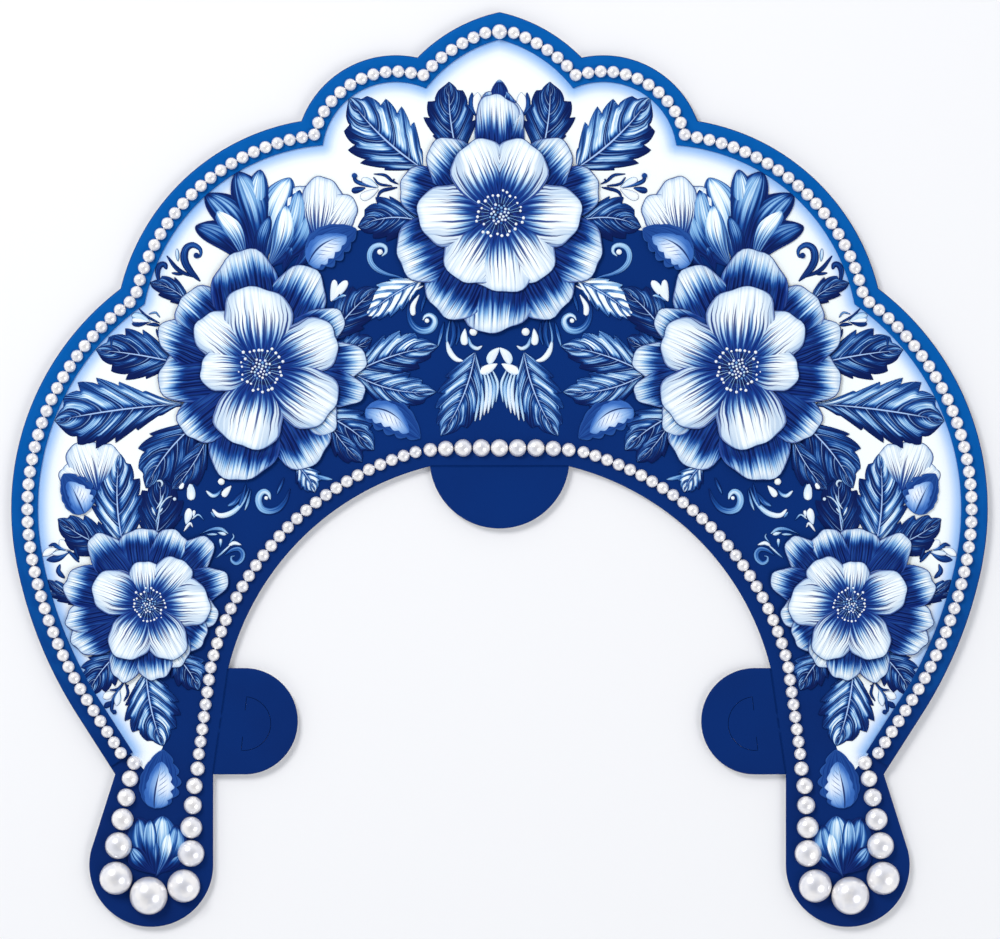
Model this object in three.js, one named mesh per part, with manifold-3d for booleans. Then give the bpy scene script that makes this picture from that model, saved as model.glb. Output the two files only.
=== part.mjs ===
// Kokoshnik headdress: a stiff scalloped crest cut from one sheet of board, with a ribbon round its
// scalloped edge, strings of small flat-backed pearls, larger graded pearls, and five raised flowers.
// It lies on its back. Millimetres: X to the right, Y towards the crest's peak, Z out of the decorated face.
// The left half mirrors the right half, so the tables hold the right half only.
import * as THREE from "three";
import { mergeVertices } from "three/addons/utils/BufferGeometryUtils.js";
import Module from "manifold-3d";

const wasm = await Module();
wasm.setup();

// Thicknesses and gaps
const BOARD_THICK = 2.0;
const RIBBON_THICK = 0.6;
const GLUE_GAP = 0.2;

// Scalloped outer edge, from the peak down to the jaw: circles that cut each other in cusps
const SCALLOPS = [
  { name: "peak", x: -11.1, y: 95.3, r: 52.3 },
  { name: "shoulder", x: 33.2, y: 100.4, r: 32.2 },
  { name: "flank", x: 51.8, y: 41.0, r: 71.5 },
  { name: "temple", x: 67.8, y: -12.6, r: 88.5 },
  { name: "cheek", x: 17.8, y: -3.3, r: 139.4 },
];
const JAW_ANGLE = THREE.MathUtils.degToRad(-32.6); // where the cheek arc turns into the straight jaw
const JAW_LENGTH = 22.7;

// Lappet, the rounded lobe that hangs beside the face
const LAPPET = { x: 111.5, y: -126.6, r: 19.8 };
const LAPPET_START = THREE.MathUtils.degToRad(14);

// Face opening: the arch, and the three tabs that fold back round the head
const ARCH = { x: 1.4, y: -84.4, r: 87.9 };
const SIDE_TAB = { x: 81.6, y: -80.6, r: 17.0 };
const FRONT_TAB = { x: 0, y: 3.5, r: 22.4 };
const CREASE_WIDTH = 0.6;
const CREASE_DEPTH = 0.5;
const CREASE_MARGIN = 0.02; // share of the crease left unscored at each end
const SLIT = { x: 81.8, y: -81.3, r: 8.6, lean: 0.85, lip: 4.4, width: 0.6 };

// Ribbon and pearl strings, set in from the edge that they follow
const RIBBON_INSET = 0.3;
const RIBBON_INNER = 8.6;
const RIBBON_END = 0.875; // share of the straight jaw that the ribbon covers
const OUTER_ROW_INSET = 5.3;
const OUTER_ROW_END = 0.79; // share of the straight jaw that the small pearls cover
const INNER_ROW = { r: 93.5, endAngle: 0.236, startAngle: 1.295, footX: 96.2, footY: -91.0 };
const PEARL_PITCH = 4.02;
const PEAK_STEP = 4.75; // from the larger pearl at the peak to the first small one
const PEARL_SIDES = 10;
const WEB_HEIGHT = 0.35;
const MID_ELEVATION = THREE.MathUtils.degToRad(48);

// Graded pearls as rows of diameter and place
const PEAK_PEARL = { d: 4.8, x: 0, y: 140.0 };
const ARCH_PEARLS = [
  { d: 5.6, x: 0, y: 6.9 },
  { d: 5.6, x: 5.8, y: 6.9 },
  { d: 5.6, x: 11.65, y: 6.9 },
  { d: 5.0, x: 17.2, y: 6.7 },
  { d: 4.4, x: 22.15, y: 6.3 },
];
const LAPPET_PEARLS = [
  { d: 4.6, x: 116.9, y: -93.8 },
  { d: 5.3, x: 118.2, y: -98.9 },
  { d: 5.8, x: 119.4, y: -104.9 },
  { d: 7.1, x: 120.6, y: -111.9 },
  { d: 8.6, x: 121.9, y: -120.3 },
  { d: 10.6, x: 122.7, y: -130.7 },
  { d: 12.2, x: 112.2, y: -136.3 },
  { d: 10.6, x: 101.0, y: -133.2 },
  { d: 8.6, x: 98.7, y: -122.8 },
  { d: 7.0, x: 98.6, y: -114.5 },
  { d: 5.8, x: 98.1, y: -107.4 },
  { d: 5.3, x: 97.6, y: -101.2 },
  { d: 4.6, x: 96.6, y: -95.7 },
];

// Flowers as rows: two tiers of petals round a domed centre
const FLOWERS = {
  top: { x: 0, y: 81.8, r: 37.5, inner: 26.0, centre: 8.0 },
  side: { x: 76.0, y: 31.8, r: 34.0, inner: 23.8, centre: 7.6 },
  low: { x: 112.2, y: -43.0, r: 24.0, inner: 17.6, centre: 5.8 },
};
const OUTER_PETALS = 8;
const INNER_PETALS = 6;
const SAMPLES_PER_PETAL = 3;
const PETAL_NOTCH = 0.12;

// Materials
const BLUE_BOARD = material("#0c3076", 0.6);
const BLUE_RIBBON = material("#0a56a6", 0.45);
const PEARL = material("#f1efee", 0.25);
const PETAL_WHITE = material("#dfe8f6", 0.6);

function material(color, roughness) {
  return new THREE.MeshStandardMaterial({ color, roughness, metalness: 0 });
}

// Flat drawing

const point = (x, y) => new THREE.Vector2(x, y);
const polar = (circle, r, angle) => point(circle.x + r * Math.cos(angle), circle.y + r * Math.sin(angle));
const angleAt = (circle, p) => Math.atan2(p.y - circle.y, p.x - circle.x);

// Points along an arc, both ends included.
function arcPoints(circle, r, from, to, step) {
  const count = Math.max(2, Math.ceil((Math.abs(to - from) * r) / step));
  return Array.from({ length: count + 1 }, (_, i) => polar(circle, r, from + ((to - from) * i) / count));
}

// Outer crossing of two circles, or the point where they touch.
function crossing(a, ra, b, rb) {
  const dx = b.x - a.x;
  const dy = b.y - a.y;
  const d = Math.hypot(dx, dy);
  const along = (d * d + ra * ra - rb * rb) / (2 * d);
  const across = Math.sqrt(Math.max(0, ra * ra - along * along));
  const ends = [1, -1].map((side) =>
    point(a.x + (along * dx - side * across * dy) / d, a.y + (along * dy + side * across * dx) / d),
  );
  return ends[0].length() > ends[1].length() ? ends[0] : ends[1];
}

// The scalloped edge set in by a distance, from the peak to a share of the straight jaw.
function scallopPath(inset, step, jawShare = 1) {
  const path = [];
  SCALLOPS.forEach((scallop, i) => {
    const r = scallop.r - inset;
    const previous = SCALLOPS[i - 1];
    const next = SCALLOPS[i + 1];
    const from = previous
      ? angleAt(scallop, crossing(previous, previous.r - inset, scallop, r))
      : Math.acos(-scallop.x / r);
    const to = next ? angleAt(scallop, crossing(scallop, r, next, next.r - inset)) : JAW_ANGLE;
    path.push(...arcPoints(scallop, r, from, to, step).slice(previous ? 1 : 0));
  });
  const jaw = point(Math.sin(JAW_ANGLE), -Math.cos(JAW_ANGLE)).multiplyScalar(JAW_LENGTH * jawShare);
  path.push(path.at(-1).clone().add(jaw));
  return path;
}

const mirrored = (points) => points.map((p) => point(-p.x, p.y)).reverse();

// Closed band of a given width round an open line.
function stroke(line, width) {
  const side = (sign) =>
    line.map((p, i) => {
      const before = line[Math.max(0, i - 1)];
      const after = line[Math.min(line.length - 1, i + 1)];
      const along = after.clone().sub(before).normalize();
      return point(p.x - (sign * along.y * width) / 2, p.y + (sign * along.x * width) / 2);
    });
  return [...side(1), ...side(-1).reverse()];
}

// Points spaced evenly along a line after its first stretch, as near as they can be to the pitch.
function spaced(line, pitch, start = 0) {
  const curve = new THREE.CurvePath();
  line.slice(1).forEach((p, i) => curve.add(new THREE.LineCurve(line[i], p)));
  const first = start / curve.getLength();
  const count = Math.round((curve.getLength() - start) / pitch);
  return Array.from({ length: count + 1 }, (_, i) => curve.getPointAt(first + ((1 - first) * i) / count));
}

// Solids

function slab(points, z, thickness) {
  const shape = new THREE.Shape(points);
  return new THREE.ExtrudeGeometry(shape, { depth: thickness, bevelEnabled: false }).translate(0, 0, z);
}

function solidOf(geometry) {
  const bare = new THREE.BufferGeometry();
  bare.setAttribute("position", geometry.getAttribute("position"));
  bare.setIndex(geometry.index);
  const merged = mergeVertices(bare, 1e-4);
  return new wasm.Manifold(
    new wasm.Mesh({
      numProp: 3,
      vertProperties: new Float32Array(merged.attributes.position.array),
      triVerts: new Uint32Array(merged.index.array),
    }),
  );
}

function geometryOf(solid) {
  const { vertProperties, triVerts } = solid.getMesh();
  return meshGeometry(vertProperties, triVerts);
}

function meshGeometry(positions, triangles) {
  const geometry = new THREE.BufferGeometry();
  geometry.setAttribute("position", new THREE.BufferAttribute(new Float32Array(positions), 3));
  geometry.setIndex(new THREE.BufferAttribute(new Uint32Array(triangles), 1));
  geometry.computeVertexNormals();
  return geometry;
}

// Closed solid through rings of the same number of points, with a flat cap at each end.
function loft(rings) {
  const sides = rings[0].length;
  const positions = rings.flat().flatMap((p) => [p.x, p.y, p.z]);
  const triangles = [];
  for (let ring = 0; ring + 1 < rings.length; ring++) {
    for (let i = 0; i < sides; i++) {
      const a = ring * sides + i;
      const b = ring * sides + ((i + 1) % sides);
      triangles.push(a, b, a + sides, b, b + sides, a + sides);
    }
  }
  const last = (rings.length - 1) * sides;
  for (let i = 1; i + 1 < sides; i++) {
    triangles.push(0, i + 1, i, last, last + i, last + i + 1);
  }
  return meshGeometry(positions, triangles);
}

// Sub-parts

function crestBoard() {
  const step = 6;
  const outer = scallopPath(0, step);
  const lappet = arcPoints(LAPPET, LAPPET.r, LAPPET_START, -Math.PI, step);
  const tab = arcPoints(SIDE_TAB, SIDE_TAB.r, 1.5 * Math.PI, 0.5 * Math.PI, step);
  const tabTop = SIDE_TAB.y + SIDE_TAB.r;
  const archFoot = Math.asin((tabTop - ARCH.y) / ARCH.r);
  const archTop = angleAt(ARCH, crossing(ARCH, ARCH.r, FRONT_TAB, FRONT_TAB.r));
  const corner = polar(ARCH, ARCH.r, archTop);
  const arch = arcPoints(ARCH, ARCH.r, archFoot, archTop, step);
  const frontTab = arcPoints(FRONT_TAB, FRONT_TAB.r, angleAt(FRONT_TAB, corner), -0.5 * Math.PI, step);
  const tabRoot = point(LAPPET.x - LAPPET.r, SIDE_TAB.y - SIDE_TAB.r);
  const half = [...outer, ...lappet, tabRoot, ...tab, ...arch, ...frontTab.slice(1)];
  const outline = [...half, ...mirrored(half).slice(1, -1)];
  let board = solidOf(slab(outline, 0, BOARD_THICK));

  const creaseFloor = BOARD_THICK - CREASE_DEPTH;
  const crease = (a, b) => [a.clone().lerp(b, CREASE_MARGIN), b.clone().lerp(a, CREASE_MARGIN)];
  const sideCrease = crease(arch[0], tabRoot);
  const frontCrease = crease(point(-corner.x, corner.y), corner);
  for (const line of [sideCrease, mirrored(sideCrease), frontCrease]) {
    board = board.subtract(solidOf(slab(stroke(line, CREASE_WIDTH), creaseFloor, BOARD_THICK)));
  }
  for (const slit of [slitLine(), mirrored(slitLine())]) {
    board = board.subtract(solidOf(slab(stroke(slit, SLIT.width), -1, BOARD_THICK + 2)));
  }
  return geometryOf(board);
}

// Half-moon slit in a side tab: an arc whose two ends turn in along the straight side.
function slitLine() {
  const top = point(SLIT.x - SLIT.lean, SLIT.y + SLIT.r);
  const bottom = point(SLIT.x + SLIT.lean, SLIT.y - SLIT.r);
  const down = bottom.clone().sub(top).normalize().multiplyScalar(SLIT.lip);
  const bow = arcPoints(SLIT, SLIT.r, angleAt(SLIT, top), angleAt(SLIT, bottom) + 2 * Math.PI, 4);
  return [top.clone().add(down), ...bow, bottom.clone().sub(down)];
}

function edgeRibbon(z) {
  const step = 8;
  const outer = scallopPath(RIBBON_INSET, step, RIBBON_END);
  const inner = scallopPath(RIBBON_INNER, step, RIBBON_END);
  const whole = (half) => [...mirrored(half), ...half.slice(1)];
  return slab([...whole(outer), ...whole(inner).reverse()], z, RIBBON_THICK);
}

// Flat-backed pearl: a dome turned about Z.
function pearl({ d, x, y }, z) {
  const r = d / 2;
  const rings = d > 8 ? 3 : 2;
  const sides = d > 8 ? 12 : PEARL_SIDES;
  const profile = [point(0, 0)];
  for (let i = 0; i <= rings; i++) {
    const elevation = (Math.PI / 2) * (i / rings);
    profile.push(point(i === rings ? 0 : r * Math.cos(elevation), r * Math.sin(elevation)));
  }
  return new THREE.LatheGeometry(profile, sides).rotateX(Math.PI / 2).translate(x, y, z);
}

// String of small flat-backed pearls, moulded together by a low web between neighbours.
function pearlString(centres, z) {
  const pitch = centres[0].distanceTo(centres[1]);
  const halfStep = Math.PI / PEARL_SIDES;
  const r = pitch / (2 * Math.cos(halfStep));
  const positions = [];
  const triangles = [];
  const add = (p, height) => positions.push(p.x, p.y, z + height) / 3 - 1;
  const between = (i, j) => centres[j].clone().sub(centres[i]).normalize();
  const last = centres.length - 1;

  // Each joint is an upright edge on both sides of the string, shared by two neighbours.
  const joints = [];
  for (let i = 0; i <= last + 1; i++) {
    const along = i === 0 ? between(0, 1) : i > last ? between(last - 1, last) : between(i - 1, i);
    const origin = i === 0 ? centres[0] : centres[i - 1];
    const middle = origin.clone().addScaledVector(along, i === 0 ? -pitch / 2 : pitch / 2);
    const side = point(-along.y, along.x).multiplyScalar(r * Math.sin(halfStep));
    const left = middle.clone().add(side);
    const right = middle.clone().sub(side);
    joints.push({
      leftFoot: add(left, 0),
      leftTop: add(left, WEB_HEIGHT),
      rightFoot: add(right, 0),
      rightTop: add(right, WEB_HEIGHT),
    });
  }

  centres.forEach((centre, i) => {
    const ahead = between(Math.max(0, i - 1), Math.min(last, i + 1));
    const heading = Math.atan2(ahead.y, ahead.x);
    const flank = (turns) => add(polar(centre, r, heading + turns * halfStep), 0);
    const front = joints[i + 1];
    const back = joints[i];
    const left = [3, 5, 7].map(flank);
    const right = [13, 15, 17].map(flank);
    const rim = [front.rightTop, front.leftTop, ...left, back.leftTop, back.rightTop, ...right];
    const foot = [front.rightFoot, front.leftFoot, ...left, back.leftFoot, back.rightFoot, ...right];
    const shoulderAt = r * Math.cos(MID_ELEVATION);
    const shoulder = Array.from({ length: PEARL_SIDES / 2 }, (_, k) =>
      add(polar(centre, shoulderAt, heading + 4 * k * halfStep), r * Math.sin(MID_ELEVATION)),
    );
    const crown = add(centre, r);
    shoulder.forEach((here, k) => {
      const next = shoulder[(k + 1) % shoulder.length];
      const [a, b, c] = [rim[2 * k], rim[2 * k + 1], rim[(2 * k + 2) % PEARL_SIDES]];
      triangles.push(a, b, here, b, next, here, b, c, next, here, next, crown);
    });
    for (let k = 1; k + 1 < PEARL_SIDES; k++) {
      triangles.push(foot[0], foot[k + 1], foot[k]);
    }
    triangles.push(front.leftTop, front.leftFoot, left[0], back.leftFoot, back.leftTop, left[2]);
    triangles.push(back.rightTop, back.rightFoot, right[0], front.rightFoot, front.rightTop, right[2]);
  });

  const close = (j, turn) => {
    const ring = [j.leftFoot, j.leftTop, j.rightTop, j.rightFoot];
    const [a, b, c, d] = turn ? ring.reverse() : ring;
    triangles.push(a, b, c, a, c, d);
  };
  close(joints[0], true);
  close(joints[last + 1], false);
  return meshGeometry(positions, triangles);
}

// Outer string of the right half, from beside the peak to the jaw.
function outerRow() {
  const line = scallopPath(OUTER_ROW_INSET, 1, OUTER_ROW_END);
  return spaced(line, PEARL_PITCH, PEAK_STEP);
}

// Inner string of the right half, from beside the graded pearls down to the lappet.
function innerRow() {
  const bow = arcPoints(ARCH, INNER_ROW.r, INNER_ROW.startAngle, INNER_ROW.endAngle, 1);
  return spaced([...bow, point(INNER_ROW.footX, INNER_ROW.footY)], PEARL_PITCH);
}

// Flower: a fan of rings whose radius follows the petals of each tier.
function rosette({ x, y, r, inner, centre }, z) {
  const samples = OUTER_PETALS * SAMPLES_PER_PETAL;
  const petal = (angle, count) => Math.sqrt(Math.abs(Math.cos((count * angle) / 2)));
  const outerEdge = (angle) => r * (1 - PETAL_NOTCH * (1 - petal(angle, OUTER_PETALS)));
  const innerEdge = (angle) => inner * (1 - PETAL_NOTCH * (1 - petal(angle, INNER_PETALS)));
  const rings = [
    { radius: (a) => 0.97 * outerEdge(a), height: 0 },
    { radius: outerEdge, height: 0.7 },
    { radius: innerEdge, height: 1.4 },
    { radius: (a) => 0.94 * innerEdge(a), height: 2.2 },
    { radius: () => centre * 1.25, height: 1.5 },
    { radius: () => centre * 0.6, height: 2.4 },
  ];
  return loft(
    rings.map(({ radius, height }) =>
      Array.from({ length: samples }, (_, i) => {
        const angle = (2 * Math.PI * (i + 0.5)) / samples + Math.PI / 2;
        const p = polar({ x, y }, radius(angle), angle);
        return new THREE.Vector3(p.x, p.y, z + height);
      }),
    ),
  );
}

// Assembly

const kokoshnik = new THREE.Group();
const crest = new THREE.Group();
const trim = new THREE.Group();
const garland = new THREE.Group();
kokoshnik.add(crest, trim, garland);

function place(group, name, geometry, look) {
  const mesh = new THREE.Mesh(geometry, look);
  mesh.name = name;
  group.add(mesh);
}

const SIDES = [
  { name: "right", sign: 1 },
  { name: "left", sign: -1 },
];
const flip = (row, sign) => ({ ...row, x: sign * row.x });
const flipAll = (rows, sign) => rows.map((row) => flip(row, sign));
const flipLine = (line, sign) => (sign > 0 ? line : mirrored(line));

const boardFace = BOARD_THICK + GLUE_GAP;
const ribbonFace = boardFace + RIBBON_THICK + GLUE_GAP;

place(crest, "crest_board", crestBoard(), BLUE_BOARD);
place(crest, "edge_ribbon", edgeRibbon(boardFace), BLUE_RIBBON);

place(trim, "peak_pearl", pearl(PEAK_PEARL, ribbonFace), PEARL);
place(trim, "arch_pearl_0", pearl(ARCH_PEARLS[0], boardFace), PEARL);
for (const { name, sign } of SIDES) {
  place(trim, `outer_pearls_${name}`, pearlString(flipLine(outerRow(), sign), ribbonFace), PEARL);
  place(trim, `inner_pearls_${name}`, pearlString(flipLine(innerRow(), sign), boardFace), PEARL);
  flipAll(ARCH_PEARLS.slice(1), sign).forEach((row, i) => {
    place(trim, `arch_pearl_${name}_${i + 1}`, pearl(row, boardFace), PEARL);
  });
  flipAll(LAPPET_PEARLS, sign).forEach((row, i) => {
    place(trim, `lappet_pearl_${name}_${i + 1}`, pearl(row, boardFace), PEARL);
  });
}

place(garland, "flower_top", rosette(FLOWERS.top, boardFace), PETAL_WHITE);
for (const { name, sign } of SIDES) {
  for (const level of ["side", "low"]) {
    place(garland, `flower_${level}_${name}`, rosette(flip(FLOWERS[level], sign), boardFace), PETAL_WHITE);
  }
}

export default kokoshnik;
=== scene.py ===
"""Kokoshnik headdress on its back: covered board, ribbon, pearls and a blue-and-white garland."""
import math
import random

import bmesh
import bpy
import numpy as np
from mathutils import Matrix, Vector
from mathutils.geometry import delaunay_2d_cdt


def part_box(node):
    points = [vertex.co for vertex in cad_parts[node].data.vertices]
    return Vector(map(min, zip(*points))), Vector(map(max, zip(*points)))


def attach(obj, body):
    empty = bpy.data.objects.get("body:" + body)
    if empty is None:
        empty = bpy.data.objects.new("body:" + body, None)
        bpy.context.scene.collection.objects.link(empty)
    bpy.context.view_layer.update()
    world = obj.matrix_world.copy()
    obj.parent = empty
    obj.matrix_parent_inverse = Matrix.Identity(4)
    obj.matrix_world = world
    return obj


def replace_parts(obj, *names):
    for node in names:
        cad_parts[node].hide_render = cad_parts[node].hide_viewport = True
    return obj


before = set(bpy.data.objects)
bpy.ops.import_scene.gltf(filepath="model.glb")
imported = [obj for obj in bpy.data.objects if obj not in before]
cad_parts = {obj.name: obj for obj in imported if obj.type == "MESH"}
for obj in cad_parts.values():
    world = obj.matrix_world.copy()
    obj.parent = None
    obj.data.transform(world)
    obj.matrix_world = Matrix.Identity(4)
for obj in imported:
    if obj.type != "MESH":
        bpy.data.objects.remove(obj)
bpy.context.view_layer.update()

# Units: the tables are in millimetres, or in pixels of the photograph's left half
MM = 0.001
PHOTO_WIDTH = 1000               # pixels
PIXEL = 0.32                     # millimetres a pixel
AXIS_X, MIDDLE_Y = 499.5, 469.5  # the photograph's pixel at the frame's origin

# Sheet: circles are centre x, centre y, radius
BOARD_TOP = 2.0
EDGE_ROUND = 0.35
SCALLOPS = [
    # centre x, centre y, radius
    (-11.1, 95.3, 52.3),    # peak
    (33.2, 100.4, 32.2),    # shoulder
    (51.8, 41.0, 71.5),     # flank
    (67.8, -12.6, 88.5),    # temple
    (17.8, -3.3, 139.4),    # cheek
]
JAW_ANGLE = math.radians(-32.6)
JAW_LENGTH = 22.7
JAW = np.array([math.sin(JAW_ANGLE), -math.cos(JAW_ANGLE)]) * JAW_LENGTH
LAPPET = (111.5, -126.6, 19.8)
LAPPET_START = math.radians(14)
ARCH = (1.4, -84.4, 87.9)
SIDE_TAB = (81.6, -80.6, 17.0)
FRONT_TAB = (0.0, 3.5, 22.4)
SLIT = (81.8, -81.3, 8.6)
SLIT_LEAN, SLIT_LIP, SLIT_WIDTH, SLIT_STEP = 0.85, 4.4, 0.14, 0.8
CREASE_WIDTH, CREASE_DEPTH, CREASE_STEP = 0.9, 0.4, 1.2
CREASE_CLEAR = 0.01              # share of a crease left out at each end
RIBBON_OUTER, RIBBON_INNER, RIBBON_END = 0.25, 8.6, 0.875     # insets, and the share of the jaw
RIBBON_BASE, RIBBON_THICK = 2.02, 0.68
RIBBON_PROFILE = [
    # share of the width, share of the thickness
    (0.0, 0.0), (0.0, 0.6), (0.03, 0.9), (0.08, 0.86), (0.2, 0.9), (0.4, 1.0),
    (0.6, 1.0), (0.8, 0.9), (0.92, 0.86), (0.97, 0.9), (1.0, 0.6), (1.0, 0.0),
]
# Mesh of the front: outline step, lattice pitch, and its distance from the outline and other lines
SHEET_STEP, LATTICE, OUTLINE_GAP, LINE_GAP = 0.9, 1.7, 0.8, 0.6

# White ground: it goes in under the ribbon and ends a little before it
GROUND_TUCK, GROUND_END, GROUND_STEP = 1.2, RIBBON_END - 0.07, 1.2
# Where it meets the navy field, from the middle of the top down to the jaw (pixels)
GROUND_LINE = [(499.5, 196), (440, 205), (398, 224), (352, 231), (320, 236), (288, 250), (255, 285),
               (225, 350), (205, 415), (150, 488), (149, 600), (158, 700), (164, 742), (146, 772)]

# Pearls sit a little below their solid's foot and nearly fill the pitch of a string
PEARL_SINK, PEARL_FILL, PEARL_SKIRT = 0.12, 0.487, 0.14
SMALL_PEARL, LARGE_PEARL = (24, 8), (40, 14)    # sides, rings
THREAD_RISE, THREAD_RADIUS = 0.25, 0.28


def srgb(red, green, blue):
    """Linear colour of an 8-bit display colour."""
    def line(c):
        c /= 255
        return c / 12.92 if c <= 0.04045 else ((c + 0.055) / 1.055) ** 2.4
    return (line(red), line(green), line(blue), 1.0)


NAVY = srgb(11, 38, 100)
DEEP = srgb(7, 26, 82)
BLUE = srgb(28, 84, 161)
SKY = srgb(128, 178, 224)
PALE = srgb(202, 226, 242)
WHITE = srgb(243, 250, 251)
DARK_TO_LIGHT = (DEEP, NAVY, BLUE, SKY, PALE, WHITE)


# Flat drawing of the sheet

def spot(x, y):
    """Place of a photograph pixel, in millimetres."""
    return np.array([(x - AXIS_X) * PIXEL, (MIDDLE_Y - y) * PIXEL])


def polar(circle, radius, angle):
    return np.array([circle[0] + radius * math.cos(angle), circle[1] + radius * math.sin(angle)])


def angle_at(circle, p):
    return math.atan2(p[1] - circle[1], p[0] - circle[0])


def sweep(circle, radius, start, end, count):
    return [polar(circle, radius, start + (end - start) * i / count) for i in range(count + 1)]


def arc(circle, radius, start, end, step):
    return sweep(circle, radius, start, end, max(2, math.ceil(abs(end - start) * radius / step)))


def segment(a, b, step):
    a, b = np.array(a), np.array(b)
    count = max(1, math.ceil(np.linalg.norm(b - a) / step))
    return [a + (b - a) * i / count for i in range(count + 1)]


def mirrored(points):
    """Mirror image, run through from its other end."""
    return [np.array([-p[0], p[1]]) for p in reversed(points)]


def both_halves(half):
    """Line from the left end over the peak to the right end."""
    return np.array(mirrored(half) + list(half[1:]))


def crossing(a, ra, b, rb):
    """Outer crossing of two circles, or the point where they touch."""
    d = np.array(b[:2]) - np.array(a[:2])
    length = np.linalg.norm(d)
    along = (length ** 2 + ra ** 2 - rb ** 2) / (2 * length)
    across = math.sqrt(max(0.0, ra ** 2 - along ** 2))
    d = d / length
    ends = [np.array(a[:2]) + along * d + s * across * np.array([-d[1], d[0]]) for s in (1, -1)]
    return max(ends, key=np.linalg.norm)


def scallop_arcs(inset):
    """Circle, radius, start and end angle of each scallop of the right half, set in."""
    cuts = [crossing(a, a[2] - inset, b, b[2] - inset) for a, b in zip(SCALLOPS, SCALLOPS[1:])]
    for i, row in enumerate(SCALLOPS):
        r = row[2] - inset
        start = angle_at(row, cuts[i - 1]) if i else math.acos(-row[0] / r)
        yield row, r, start, angle_at(row, cuts[i]) if i < len(cuts) else JAW_ANGLE


def scallop_path(inset, step, jaw_share=1.0):
    """Right half of the scalloped edge, set in, from the peak to a share of the straight jaw."""
    path = []
    for row, r, start, end in scallop_arcs(inset):
        path += arc(row, r, start, end, step)[1 if path else 0:]
    return path + segment(path[-1], path[-1] + JAW * jaw_share, step)[1:]


def ribbon_path(inset, jaw_steps=14):
    """Set-in half edge with the same number of points on each arc, whatever the inset."""
    path = []
    for row, r, start, end in scallop_arcs(inset):
        path += sweep(row, r, start, end, max(8, round(row[2] * 0.9)))[1 if path else 0:]
    end = path[-1]
    return path + [end + JAW * RIBBON_END * k / jaw_steps for k in range(1, jaw_steps + 1)]


def smooth_line(points, per_span):
    """Catmull-Rom line through points."""
    p = [np.array(q, float) for q in points]
    p = [2 * p[0] - p[1]] + p + [2 * p[-1] - p[-2]]
    line = []
    for i in range(1, len(p) - 2):
        for k in range(per_span):
            t = k / per_span
            line.append(0.5 * (2 * p[i] + (p[i + 1] - p[i - 1]) * t
                               + (2 * p[i - 1] - 5 * p[i] + 4 * p[i + 1] - p[i + 2]) * t ** 2
                               + (3 * p[i] - p[i - 1] - 3 * p[i + 1] + p[i + 2]) * t ** 3))
    return line + [p[-2]]


def directions(points):
    """Unit direction at each point of an open line."""
    along = np.gradient(points, axis=0)
    return along / np.linalg.norm(along, axis=1)[:, None]


def stroke(line, width):
    """Closed band of a given width round an open line."""
    p = np.array(line)
    side = directions(p)[:, ::-1] * (-1, 1) * width / 2
    return list(p + side) + list((p - side)[::-1])


def inside(points, loop):
    """Which points lie inside a closed loop."""
    points, loop = np.asarray(points), np.asarray(loop)
    result = np.zeros(len(points), bool)
    for a, b in zip(loop, np.roll(loop, -1, axis=0)):
        crosses = (a[1] > points[:, 1]) != (b[1] > points[:, 1])
        if a[1] != b[1]:
            at = (b[0] - a[0]) * (points[:, 1] - a[1]) / (b[1] - a[1]) + a[0]
            result ^= crosses & (points[:, 0] < at)
    return result


def distance_to(points, line):
    """Shortest distance from each point to an open line."""
    points, line = np.asarray(points), np.asarray(line)
    best = np.full(len(points), 1e9)
    for a, b in zip(line[:-1], line[1:]):
        d = b - a
        t = np.clip(((points - a) @ d) / max(d @ d, 1e-12), 0, 1)
        best = np.minimum(best, np.linalg.norm(points - a - t[:, None] * d, axis=1))
    return best


def sheet_half():
    """Right half of the outline, from the peak to the front tab, and the ends of its creases."""
    step = SHEET_STEP
    tab_top = SIDE_TAB[1] + SIDE_TAB[2]
    arch_foot = math.asin((tab_top - ARCH[1]) / ARCH[2])
    corner = crossing(ARCH, ARCH[2], FRONT_TAB, FRONT_TAB[2])
    root = np.array([LAPPET[0] - LAPPET[2], SIDE_TAB[1] - SIDE_TAB[2]])
    arch = arc(ARCH, ARCH[2], arch_foot, angle_at(ARCH, corner), step)
    tab = arc(SIDE_TAB, SIDE_TAB[2], 1.5 * math.pi, 0.5 * math.pi, step)
    lappet = arc(LAPPET, LAPPET[2], LAPPET_START, -math.pi, step)
    front = arc(FRONT_TAB, FRONT_TAB[2], angle_at(FRONT_TAB, corner), -0.5 * math.pi, step)
    half = scallop_path(0, step)
    for line in (lappet, [root], tab, arch):
        half += segment(half[-1], line[0], step)[1:-1] + line
    return half + front[1:], (arch[0], root), (np.array([-corner[0], corner[1]]), corner)


def slit_line():
    """Half-moon slit with a short straight lip at each end."""
    top = np.array([SLIT[0] - SLIT_LEAN, SLIT[1] + SLIT[2]])
    bottom = np.array([SLIT[0] + SLIT_LEAN, SLIT[1] - SLIT[2]])
    down = (bottom - top) / np.linalg.norm(bottom - top) * SLIT_LIP
    bow = arc(SLIT, SLIT[2], angle_at(SLIT, top), angle_at(SLIT, bottom) + 2 * math.pi, SLIT_STEP)
    return (segment(top + down, bow[0], SLIT_STEP)[:-1] + bow
            + segment(bow[-1], bottom - down, SLIT_STEP)[1:])


# Mesh and object helpers

def add_to_scene(name, data):
    obj = bpy.data.objects.new(name, data)
    bpy.context.scene.collection.objects.link(obj)
    return obj


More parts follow.
